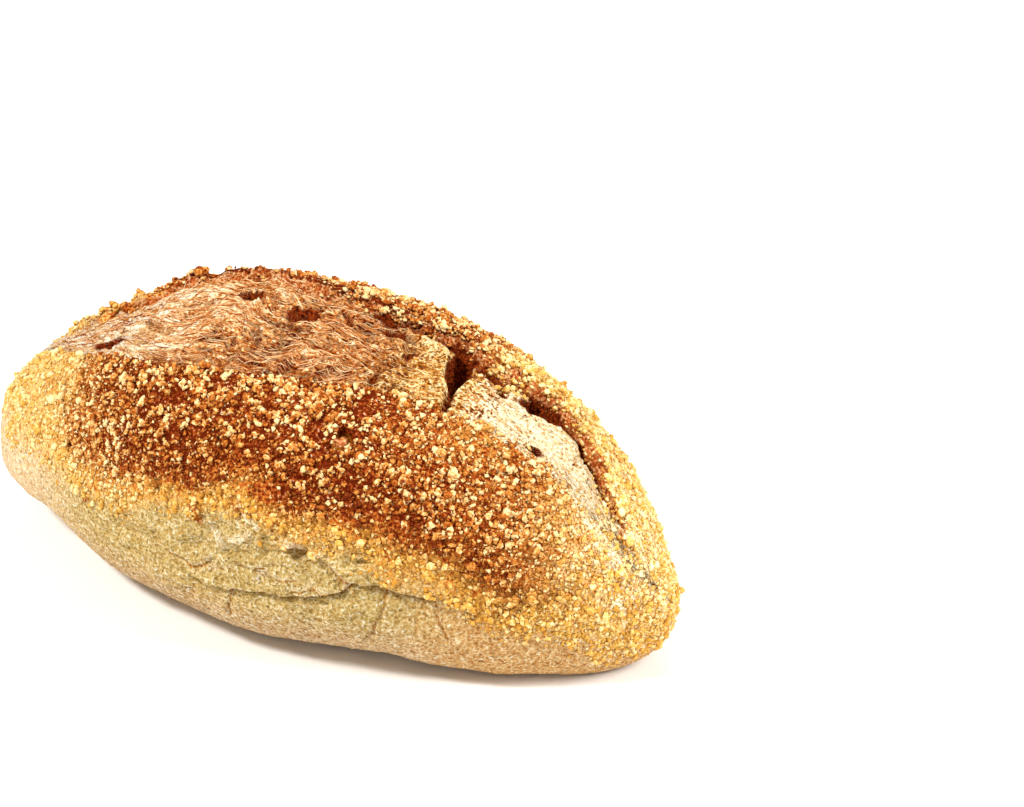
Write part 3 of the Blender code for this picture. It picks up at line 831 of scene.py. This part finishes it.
def octahedron():
    """The corners and triangles of an octahedron."""
    corners = np.concatenate([np.eye(3), -np.eye(3)])
    faces = []
    for x, y, z in itertools.product((0, 3), (1, 4), (2, 5)):
        turned = (x > 2) + (y > 2) + (z > 2)
        faces.append((x, y, z) if turned % 2 == 0 else (x, z, y))
    return corners, np.array(faces)


def cube():
    """The corners and triangles of a cube as large as a ball of radius 1."""
    bm = bmesh.new()
    bmesh.ops.create_cube(bm, size=1.45)
    bmesh.ops.triangulate(bm, faces=bm.faces)
    return corners_and_faces(bm)


def icosahedron():
    """The corners and triangles of an icosahedron."""
    bm = bmesh.new()
    bmesh.ops.create_icosphere(bm, subdivisions=1, radius=1)
    return corners_and_faces(bm)


def corners_and_faces(bm):
    """The mesh's corners and triangles as arrays; the mesh itself is freed."""
    bm.verts.index_update()
    corners = np.array([vertex.co for vertex in bm.verts])
    faces = np.array([[vertex.index for vertex in face.verts] for face in bm.faces])
    bm.free()
    return corners, faces


def random_turns(rng, count):
    """Rotation matrices of random turns."""
    a, b, c, d = unit(rng.normal(size=(count, 4))).T
    rows = (
        (1 - 2 * (c * c + d * d), 2 * (b * c - a * d), 2 * (b * d + a * c)),
        (2 * (b * c + a * d), 1 - 2 * (b * b + d * d), 2 * (c * d - a * b)),
        (2 * (b * d - a * c), 2 * (c * d + a * b), 1 - 2 * (b * b + c * c)),
    )
    return np.moveaxis(np.array(rows), -1, 0)


def chunks(name, shape, theta, phi, radii, lift, rng, material, scorch=0, dull=0):
    """Joined chunks on the skin: jittered, squashed and turned copies of one shape, lifted by a share of
    their radius. A scorch of 1 browns one through, and a dull one is darker where the crust is brown."""
    corners, faces = shape
    count, size = len(theta), len(corners)
    outward, _ = directions(theta, phi)
    place, marks = skin(theta, phi)
    chunk = corners[None] * (1 + rng.uniform(-CHUNK_JITTER, CHUNK_JITTER, (count, size, 1)))
    chunk = chunk * rng.uniform(*CHUNK_STRETCH, (count, 1, 3))
    chunk = np.einsum("nij,nkj->nki", random_turns(rng, count), chunk)
    centre = place + outward * (radii * lift)[:, None]
    points = centre[:, None] + chunk * radii[:, None, None]
    values = {
        "tone": rng.uniform(0, 1, count) * (1 - 0.5 * scorch) * (1 - dull * marks["toast"]),
        "toast": np.maximum(marks["toast"], scorch),
        "edge": marks["edge"],
        "along": marks["along"],
    }
    values = {key: np.repeat(value, size) for key, value in values.items()}
    values["rise"] = np.einsum("nkj,nj->nk", chunk, outward) + lift[:, None]
    faces = (faces[None] + np.arange(count)[:, None, None] * size).reshape(-1, 3)
    return mesh_piece(name, points.reshape(-1, 3), faces, values, material)


def moved(theta, phi, long, wide):
    """Places moved by so many mm along the loaf and round it."""
    step = 1e-3
    lengthwise = np.linalg.norm(plain_point(theta + step, phi) - plain_point(theta - step, phi), axis=-1)
    around = np.linalg.norm(plain_point(theta, phi + step) - plain_point(theta, phi - step), axis=-1)
    theta = theta + long * 2 * step / np.maximum(lengthwise, 1e-3)
    return theta, phi + wide * 2 * step / np.maximum(around, 1e-3)


def clumped(rng, theta, phi, members, spread):
    """Each place again for every member of its clump, pushed aside by about spread mm, and its lift."""
    theta, phi, spread = (np.repeat(values, members) for values in (theta, phi, spread))
    aside = rng.normal(0, 1, (2, theta.size)) * spread
    lift = rng.uniform(0, 1.6, theta.size) * bell(np.hypot(*aside), 1.5 * spread)
    return *moved(theta, phi, *aside), lift


def scatter(rng, count, density):
    """Places drawn at random over the loaf, as many for each square millimetre as density says."""
    rows, columns = SCATTER_GRID
    theta = (np.arange(rows) + 0.5) * math.pi / rows - math.pi / 2
    phi = (np.arange(columns) + 0.5) * 2 * math.pi / columns - math.pi / 3
    theta, phi = np.meshgrid(theta, phi, indexing="ij")
    point = plain_point(theta, phi)
    area = np.linalg.norm(np.cross(np.gradient(point, axis=0), np.gradient(point, axis=1)), axis=-1)
    weight = (area * density(theta, point)).ravel()
    cells = rng.choice(weight.size, count, p=weight / weight.sum())
    theta = theta.ravel()[cells] + rng.uniform(-0.5, 0.5, count) * math.pi / rows
    phi = phi.ravel()[cells] + rng.uniform(-0.5, 0.5, count) * 2 * math.pi / columns
    return theta, phi


def coat(theta, point):
    """The share of the crust that grits cover: over the coat, off the bare dough and the smooth blisters."""
    x, _, z = xyz(point)
    _, _, inside, gully, _ = score_relief(theta, point)
    past_lip = inside_far(theta, point)
    clumps = 0.8 + 0.5 * lumps(point, 6, 91) + 0.6 * lumps(point, 2.5, 92)
    spill = FAR_SPILL - (FAR_SPILL + CRACK_BARE) * window(x, *CRACK)
    spill = spill * (past_lip < along(theta, GULLY_WIDTH))
    covered = 1 - step_up(inside - spill, -0.8, 0.8 + 4 * step_up(x, *FLOURY_DOUGH))
    crossed = np.maximum(window(x, *CROSSED), step_up(x, *CROSSED_END))
    bridge = window(past_lip, *CROSSED_BAND) * crossed * (1 - step_up(gully, 1.2, 2.4))
    covered = np.maximum(covered, bridge * (z > 15)) * step_up(coat_edge(theta, point), -7, 5)
    sparse = window(past_lip, *THIN_COAT_BAND) * window(x, *THIN_COAT)
    covered = covered * (1 - 0.75 * sparse) * (1 - step_up(pocket_relief(point)[1], 0.3, 0.8))
    covered = covered * (1 - 0.7 * bald_spots(point)) * (1 - 0.65 * stripe(point))
    return covered * np.clip(clumps, 0.25, 1.8) * (z > 3)


def coarse(theta, point):
    """Where the coarse grits lie: all over the coat, and thickest at the right end."""
    right = 1 + 0.8 * step_up(point[..., 0], *MORE_COARSE)
    return coat(theta, point) * right * (1 - 0.35 * under_near_lip(theta, point))


def popcorn(theta, point):
    """Where the popped grits lie: the middle of the length, and thickest under the near lip."""
    return coat(theta, point) * window(point[..., 0], *POPPED) * (1 + 1.2 * under_near_lip(theta, point))


def near_ends(theta, point):
    """Where the fine grits lie: more towards the ends."""
    middle = 1 - 0.55 * window(point[..., 0], *FEW_FINE)
    return coat(theta, point) * middle * (1 - 0.35 * under_near_lip(theta, point))


def crumbs(theta, point):
    """Where the meal lies: over all the coat, and thinly on the rest."""
    return coat(theta, point) * (1.3 - browning(theta, point)) + 0.06 * (point[..., 2] > 3)


def bare_dough(theta, point):
    """Where the strands lie: on the stretched dough, and thinly where it is floury."""
    x = point[..., 0]
    _, _, inside, gully, _ = score_relief(theta, point)
    level = gully + pocket_relief(point)[1] < 0.8
    fewer = 1 - 0.6 * step_up(x, *FLOURY_DOUGH) - 0.35 * window(x, *FEW_STRANDS)
    return step_up(inside, 0.3, 1.5) * level * fewer * (0.7 + 0.6 * lumps(point, 7, 93))


def solid_coat(theta, phi, point):
    """Whether the solid's coat of grits covers this place."""
    share = point[1] / max(half_width(theta), 1)
    over_score = SOLID_BARE_ARC[0] < math.degrees(phi) < SOLID_BARE_ARC[1]
    near, far = along(theta, NEAR_LIP) - SOLID_BARE_MARGIN, along(theta, FAR_LIP) + SOLID_BARE_MARGIN
    bare = over_score and near < share < far
    return point[2] > along(theta, GRIT_FLOOR) + SOLID_FLOOR_MARGIN and not bare


def solid_grits():
    """Theta, phi and radius of each of the solid's grits, drawn as the solid draws them."""
    rng = np.random.default_rng(SOLID_SEED)
    places, points = [], []
    for _ in range(SOLID_GRITS * SOLID_TRIES):
        if len(places) == SOLID_GRITS:
            break
        theta = np.arcsin(rng.uniform(-SOLID_REACH, SOLID_REACH))
        phi = math.radians(rng.uniform(*SOLID_ARC))
        point = plain_point(theta, phi)
        clear = all(np.linalg.norm(point - other) > SOLID_SPACING for other in points)
        if clear and solid_coat(theta, phi, point):
            places.append((theta, phi))
            points.append(point)
    for theta in np.radians(np.linspace(*LIP_GRIT_THETA, LIP_GRITS)):
        theta = theta + math.radians(rng.uniform(-LIP_GRIT_SLIP, LIP_GRIT_SLIP))
        drop = math.radians(rng.uniform(*LIP_GRIT_DROP))
        places.append((theta, angle_of(along(theta, FAR_LIP)) - drop))
    grits = [(theta, phi, rng.uniform(*SOLID_RADIUS)) for theta, phi in places]
    for x, y, radius in LIP_SCRAPS:
        theta = theta_at(x)
        grits.append((theta, angle_of(y / half_width(theta)), radius))
    return np.array(grits).T


GRIT_KINDS = (
    # name, shape, places, chunks at each place, radii in mm, how dull they are on browned crust, where
    ("grits_popped", icosahedron(), 1000, 5, (0.42, 1), 0.2, popcorn),
    ("grits_coarse", cube(), 9000, 1, (0.44, 0.9), 0, coarse),
    ("grits_medium", octahedron(), 12000, 1, (0.42, 0.76), 0.2, near_ends),
    ("grits_fine", octahedron(), 19000, 1, (0.26, 0.46), 0.5, near_ends),
    ("meal", octahedron(), 23000, 1, (0.15, 0.3), 0.7, crumbs),
)


def build_grits(material):
    """One joined mesh for each kind of grit."""
    rng = np.random.default_rng(99)
    theta, phi, radius = solid_grits()
    theta, phi, lift = clumped(rng, theta, phi, SOLID_CHUNKS, 0.45 * radius)
    size = np.repeat(radius, SOLID_CHUNKS) * rng.uniform(0.35, 0.75, theta.size)
    scorch = np.arange(theta.size) >= theta.size - SOLID_CHUNKS * len(LIP_SCRAPS)
    made = [chunks("grits_large", icosahedron(), theta, phi, size, lift, rng, material, scorch * 1)]
    for number, (name, shape, places, members, radii, dull, where) in enumerate(GRIT_KINDS):
        rng = np.random.default_rng(100 + number)
        theta, phi = scatter(rng, places, where)
        lift = np.zeros(places)
        if members > 1:
            theta, phi, lift = clumped(rng, theta, phi, members, np.full(places, CLUMP_SPREAD))
        size = radii[0] + (radii[1] - radii[0]) * rng.uniform(0, 1, theta.size) ** 1.6
        made.append(chunks(name, shape, theta, phi, size, lift, rng, material, dull=dull))
    return made


# ---- strands


def flow(theta, phi):
    """The run of the stretched dough, as an angle from the loaf's length."""
    places = (theta, phi), moved(theta, phi, FLOW_STEP, 0), moved(theta, phi, 0, FLOW_STEP)
    here, ahead, beside = (drawn_place(place[0], plain_point(*place))[..., 1] for place in places)
    return np.arctan((ahead - here) / np.maximum(here - beside, 0.2 * FLOW_STEP))


def build_strands(material):
    """Thin threads of torn dough on the stretched dough, three-sided and thinner to their ends."""
    rng = np.random.default_rng(200)
    theta, phi = scatter(rng, STRANDS, bare_dough)
    step = rng.uniform(*STRAND_STEP, STRANDS)
    bend = rng.normal(0, STRAND_TURN, STRANDS)
    path = [(theta, phi)]
    for _ in range(STRAND_STEPS):
        heading = flow(theta, phi) + bend
        theta, phi = moved(theta, phi, step * np.cos(heading), step * np.sin(heading))
        bend = bend + rng.normal(0, STRAND_BEND, STRANDS)
        path.append((theta, phi))
    theta, phi = (np.stack(values, axis=1) for values in zip(*path))
    points, marks = skin(theta, phi)
    outward, _ = directions(theta, phi)
    share = np.sin(np.linspace(0, math.pi, STRAND_STEPS + 1))
    points = points + outward * (share * rng.uniform(0, STRAND_LIFT, (STRANDS, 1)))[..., None]
    sideways = unit(np.cross(outward, np.gradient(points, axis=1)))
    thick = rng.uniform(*STRAND_RADIUS, (STRANDS, 1)) * (0.35 + 0.65 * share)
    thick = (thick * (1 - 0.9 * step_up(marks["depth"], 0.3, 0.9)))[..., None]
    turns = np.radians((90, 210, 330))
    ring = [points + (outward * math.sin(turn) + sideways * math.cos(turn)) * thick for turn in turns]
    values = {
        "tone": np.repeat(rng.uniform(0, 1, STRANDS), 3 * (STRAND_STEPS + 1)),
        "along": np.repeat(marks["along"], 3),
        "floury": np.repeat(marks["floury"], 3),
    }
    corners = np.stack(ring, axis=2).reshape(-1, 3)
    return mesh_piece("dough_strands", corners, strand_faces(), values, material)


def strand_faces():
    """The triangles of every strand: its sides and its two ends."""
    faces = [(0, 1, 2), (3 * STRAND_STEPS, 3 * STRAND_STEPS + 2, 3 * STRAND_STEPS + 1)]
    for first in range(0, 3 * STRAND_STEPS, 3):
        for side, after in ((0, 1), (1, 2), (2, 0)):
            faces.append((first + side, first + 3 + side, first + after))
            faces.append((first + after, first + 3 + side, first + 3 + after))
    corners = 3 * (STRAND_STEPS + 1)
    return (np.array(faces)[None] + np.arange(STRANDS)[:, None, None] * corners).reshape(-1, 3)


# ---- materials


def linear(code):
    """A colour from its six hexadecimal digits, as the shader takes it."""
    channels = [int(code[place : place + 2], 16) / 255 for place in (0, 2, 4)]
    return (*(c / 12.92 if c <= 0.04045 else ((c + 0.055) / 1.055) ** 2.4 for c in channels), 1)


class Shading:
    """Short names for the nodes of one material. Each gives the new node's output."""

    def __init__(self, name, roughness, specular):
        self.material = bpy.data.materials.new(name)
        self.material.use_nodes = True
        self.tree = self.material.node_tree
        self.shader = self.tree.nodes["Principled BSDF"]
        self.shader.inputs["Roughness"].default_value = roughness
        self.shader.inputs["Specular IOR Level"].default_value = specular

    def add(self, kind, inputs, output=0, **settings):
        made = self.tree.nodes.new("ShaderNode" + kind)
        for key, value in settings.items():
            setattr(made, key, value)
        for key, value in inputs.items():
            if isinstance(value, bpy.types.NodeSocket):
                self.tree.links.new(value, made.inputs[key])
            else:
                made.inputs[key].default_value = value
        return made.outputs[output]

    def mark(self, name, output="Fac"):
        return self.add("Attribute", {}, output, attribute_name=name)

    def math(self, operation, *values):
        return self.add("Math", dict(enumerate(values)), operation=operation)

    def times(self, value, other):
        return self.math("MULTIPLY", value, other)

    def sum(self, value, other, share):
        """value + share * (other - 0.5)."""
        return self.math("ADD", value, self.times(self.math("SUBTRACT", other, 0.5), share))

    def noise(self, size, detail=3, place=None, stretch=1, distortion=0):
        """Noise from 0 to 1, with features about size mm across and, along x, longer by the stretch."""
        place = place or self.add("TexCoord", {}, "Object")
        scale = [1 / (size * MM * share) for share in (stretch, 1, 1)]
        scaled = self.add("VectorMath", {0: place, 1: scale}, operation="MULTIPLY")
        inputs = {"Vector": scaled, "Scale": 1, "Detail": detail, "Distortion": distortion}
        return self.add("TexNoise", inputs)

    def vein(self, size, half_width, place):
        """Thin curling lines about size mm apart: 1 on a line and 0 off it."""
        away = self.math("SUBTRACT", self.noise(size, 1, place, 3.2, 0.6), 0.5)
        return self.between(self.math("ABSOLUTE", away), half_width, 0)

    def between(self, value, start, end):
        """0 at start, 1 at end, smooth between, and level past them."""
        inputs = {"Value": value, "From Min": start, "From Max": end}
        return self.add("MapRange", inputs, interpolation_type="SMOOTHSTEP")

    def ramp(self, value, stops):
        """The colours of the stops, each a place and a code, picked by value."""
        colour = self.add("ValToRGB", {"Fac": value})
        elements = colour.node.color_ramp.elements
        stops = [stop.split() for stop in stops.split(",")]
        while len(elements) < len(stops):
            elements.new(0.5)
        for element, (place, code) in zip(elements, stops):
            element.position = float(place)
            element.color = linear(code)
        return colour

    def mix(self, share, first, second):
        first, second = (linear(value) if isinstance(value, str) else value for value in (first, second))
        return self.add("Mix", {"Factor": share, 6: first, 7: second}, 2, data_type="RGBA")

    def lengthwise(self, start, end, first, second):
        """The first colour up to start along the loaf, and the second one from end."""
        return self.mix(self.between(self.mark("along"), start, end), first, second)

    def finish(self, colour, heights):
        """Links the colour, and a bump of the heights, as (noise, depth in mm)."""
        self.tree.links.new(colour, self.shader.inputs["Base Color"])
        normal = {}
        for height, depth in heights:
            normal = {"Normal": self.add("Bump", {"Height": height, "Distance": depth * MM, **normal})}
        self.tree.links.new(normal["Normal"], self.shader.inputs["Normal"])
        return self.material


def crust_material():
    """The skin: toasted crust under the grits, floury dough below, and stretched bare dough in the score."""
    s = Shading("crust", 0.85, 0.04)
    coarse_noise, middle, fine = s.noise(5), s.noise(1.8, 2), s.noise(0.8, 2)
    drawn = s.mark("drawn", "Vector")
    veins = s.math("MAXIMUM", s.vein(1.9, 0.05, drawn), s.vein(1, 0.07, drawn))
    # These noises also drive the bump, so the colours below are darker in its hollows as painted shade and
    # lighter on its tops.
    grain_and_bump_shade = s.sum(s.sum(0.5, middle, 1), fine, 2.2)
    coated = s.between(s.sum(s.sum(s.mark("edge"), coarse_noise, 9), middle, 6), -5, 4)
    side = s.mix(coated, low_dough(s, fine, middle), toasted_crust(s, coarse_noise, grain_and_bump_shade))
    bareness = s.between(s.sum(s.mark("inside"), middle, 2.2), -0.3, 0.3)
    colour = s.mix(bareness, side, bare_dough_colour(s, grain_and_bump_shade, veins, drawn))
    floury = s.ramp(grain_and_bump_shade, "0.05 cc8c3c, 0.35 f4d29a, 0.6 fcecc4, 0.9 fffae4")
    colour = s.mix(s.between(s.sum(s.mark("floury"), grain_and_bump_shade, 0.9), 0.3, 0.7), colour, floury)
    wall = s.ramp(grain_and_bump_shade, "0.1 862e08, 0.5 c26830, 0.9 f0bc84")
    colour = s.mix(s.between(s.sum(s.mark("wall"), grain_and_bump_shade, 0.6), 0.3, 0.7), colour, wall)
    colour = s.mix(s.times(s.mark("pale"), 0.7), colour, s.ramp(grain_and_bump_shade, "0.1 c9a268, 0.8 faeccb"))
    # Painted shade: dark red-brown deep in the pockets, the gully and the slits.
    colour = s.mix(s.between(s.mark("depth"), 0.4, 1.6), colour, s.ramp(grain_and_bump_shade, "0.2 4a1202, 0.8 983c10"))
    # Painted shade along the folds, tears and slits.
    crease_shade = s.between(s.sum(s.mark("line"), fine, 0.4), 0.6, 0.25)
    colour = s.mix(s.times(crease_shade, 0.75), colour, "ac681c")
    return s.finish(colour, ((middle, 1.4), (fine, 1.2), (s.times(veins, bareness), 0.15)))


def toasted_crust(s, coarse_noise, grain_and_bump_shade):
    """The crust between the grits: gold to red-brown by its toast, and pale at both ends."""
    # The grain lowers the toast on the bump's tops and raises it in its hollows, as painted shade besides the
    # crust's own mottling.
    toast = s.sum(s.sum(s.mark("toast"), coarse_noise, 0.4), grain_and_bump_shade, -1.1)
    gold = s.ramp(toast, "0 ecb458, 0.3 d48634, 0.65 ae501c, 1 661e04")
    pale = s.ramp(toast, "0 f2cc82, 0.3 e6ac56, 0.6 c97c34, 1 863408")
    right = s.ramp(toast, "0 ffe8b8, 0.35 f6c87c, 0.6 d88c38, 1 984410")
    return s.lengthwise(64, 90, s.lengthwise(-40, -80, gold, pale), right)


def low_dough(s, fine, middle):
    """The floury dough below the coat: khaki, tan towards the sole, and creamy at both ends."""
    # These noises also drive the bump, so the dough is darker in its hollows as painted shade.
    grain_and_bump_shade = s.sum(s.sum(0.5, middle, 0.5), fine, 1.5)
    flour = s.ramp(grain_and_bump_shade, "0.1 8e682c, 0.5 c4a664, 0.9 f0e0b8")
    tan = s.ramp(grain_and_bump_shade, "0.1 9c6a32, 0.5 cca878, 0.9 f6e8cc")
    cream = s.ramp(grain_and_bump_shade, "0.1 c49254, 0.5 eaca9c, 0.9 fcecd0")
    orange = s.ramp(grain_and_bump_shade, "0.1 9c5a26, 0.5 cea064, 0.9 f4dcac")
    low = s.mix(s.between(s.mark("height"), 24, 8), flour, tan)
    return s.lengthwise(35, 65, s.lengthwise(-45, -85, low, cream), orange)


def bare_dough_colour(s, grain_and_bump_shade, veins, drawn):
    """The stretched dough: pinkish tan, paler at the left end, more golden on the flap."""
    streaks = s.noise(1.6, 3, drawn, 3, 0.4)
    on_flap = s.between(s.mark("along"), 12, 30)
    # Painted light: lighter on the dough's ridges and darker in its valleys. The browning is the dough's own
    # colour.
    high = s.sum(s.math("MULTIPLY_ADD", s.mark("ridge"), 0.35, 0.5), s.mark("browned"), -0.9)
    lit = s.sum(s.sum(high, grain_and_bump_shade, 1), streaks, 2.8)
    tan = s.ramp(lit, "0 561602, 0.3 943e0a, 0.6 c4722c, 0.85 e9ae66, 1 fee8bc")
    pale = s.ramp(lit, "0 9c5c2c, 0.3 c48c50, 0.6 e4b886, 0.85 f6d8b0, 1 fff4e0")
    smooth = s.sum(s.sum(high, grain_and_bump_shade, 2), streaks, 1)
    golden = s.ramp(smooth, "0 6e2a02, 0.3 a85e12, 0.6 cc8a34, 0.85 eaba64, 1 fce8b0")
    bare = s.mix(on_flap, s.lengthwise(-24, -56, tan, pale), golden)
    return s.mix(s.times(s.times(veins, 0.4), s.between(on_flap, 1.6, 0)), bare, "f4cc8e")


def strand_material():
    """The strands: cream to tan."""
    s = Shading("dough_strands", 0.85, 0.04)
    fine = s.noise(0.85, 2)
    # The fine noise also drives the bump, so strands are darker in its hollows as painted shade.
    tone = s.sum(s.mark("tone"), fine, 1)
    tan = s.ramp(tone, "0 8a3a0c, 0.45 c87e3a, 1 fbdeae")
    golden = s.ramp(tone, "0 9a500e, 0.45 d09038, 1 fae4a8")
    colour = s.lengthwise(14, 30, tan, golden)
    colour = s.mix(s.mark("floury"), colour, s.ramp(tone, "0 e0aa5c, 1 fff6dc"))
    return s.finish(colour, ((fine, 0.2),))


def grit_material():
    """Corn grits: cream and golden, browned where the crust is brown, with painted shade at their foot."""
    s = Shading("corn_grits", 0.7, 0.08)
    fine = s.noise(0.7, 2)
    deeper = s.times(s.between(s.mark("along"), -40, -20), s.between(s.mark("edge"), 26, 8))
    # The fine noise also drives the bump, so grits are darker in its hollows as painted shade.
    tone = s.sum(s.sum(s.mark("tone"), fine, 1.6), deeper, -0.3)
    browned = s.between(s.mark("toast"), 0.1, 0.6)
    pale = s.ramp(tone, "0 d2963a, 0.4 eab858, 1 fce8aa")
    brown = s.ramp(tone, "0 6c2404, 0.36 b8621e, 0.6 de9c48, 1 ffe4a8")
    right = s.ramp(tone, "0 dca040, 0.4 f4c868, 1 fff0be")
    colour = s.lengthwise(66, 90, s.mix(browned, pale, brown), right)
    # Painted shade: each grit darkens towards its foot, where it meets the crust.
    foot_shade = s.lengthwise(66, 90, s.mix(browned, "c08230", "581a02"), "d08a28")
    return s.finish(s.mix(s.between(s.mark("rise"), 0.6, -0.15), colour, foot_shade), ((fine, 0.5),))


def floor_material():
    """A plain pale floor."""
    s = Shading("floor", 0.9, 0.1)
    grain_and_bump_shade = s.noise(30, 2)
    return s.finish(s.ramp(grain_and_bump_shade, "0.3 f4f3f1, 0.7 f6f5f4"), ((grain_and_bump_shade, 0.01),))


# ---- stage


def towards(azimuth, elevation):
    """The direction from the loaf to a camera or a lamp at these angles."""
    a, e = math.radians(azimuth), math.radians(elevation)
    return Vector((math.sin(a) * math.cos(e), -math.cos(a) * math.cos(e), math.sin(e)))


def make_floor():
    """The floor, just below the loaf's sole."""
    bpy.ops.mesh.primitive_plane_add(size=6, location=(0, 0, -0.0001))
    floor = bpy.context.object
    floor.name = "floor"
    floor.data.materials.append(floor_material())


def make_lamp(name, azimuth, elevation, distance, size, power, colour):
    """A soft square lamp that looks at the middle of the loaf."""
    back = towards(azimuth, elevation)
    lamp = bpy.data.lights.new(name, "AREA")
    lamp.size = size
    lamp.energy = power
    lamp.color = colour
    made = placed(name, lamp)
    made.location = Vector((0, 0, AIM_HEIGHT)) + back * distance
    made.rotation_euler = back.to_track_quat("Z", "Y").to_euler()


def make_world():
    """White light from all round."""
    world = bpy.data.worlds.new("studio")
    world.use_nodes = True
    background = world.node_tree.nodes["Background"]
    background.inputs["Color"].default_value = (1, 1, 1, 1)
    background.inputs["Strength"].default_value = WORLD_STRENGTH
    bpy.context.scene.world = world


def make_camera():
    """The photo's view."""
    back = towards(AZIMUTH, ELEVATION)
    right = Vector((math.cos(math.radians(AZIMUTH)), math.sin(math.radians(AZIMUTH)), 0))
    up = back.cross(right)
    aim = Vector((0, 0, AIM_HEIGHT)) + right * AIM_RIGHT + up * AIM_UP
    turn = Matrix((right, up, back)).transposed() @ Matrix.Rotation(math.radians(ROLL), 3, "Z")
    camera = bpy.data.cameras.new("camera")
    camera.lens = LENS
    camera.sensor_width = SENSOR
    made = placed("camera", camera)
    made.matrix_world = Matrix.Translation(aim + back * DISTANCE) @ turn.to_4x4()
    bpy.context.scene.camera = made


def main():
    """The stage, and the pieces on the loaf's one body."""
    make_camera()
    make_floor()
    make_world()
    for lamp in LAMPS:
        make_lamp(*lamp)
    bpy.context.scene.view_settings.view_transform = "Standard"
    crust = build_skin(crust_material())
    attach(crust, "root")
    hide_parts("loaf")
    for grits in build_grits(grit_material()):
        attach(grits, "root")
    strands = build_strands(strand_material())
    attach(strands, "root")


main()
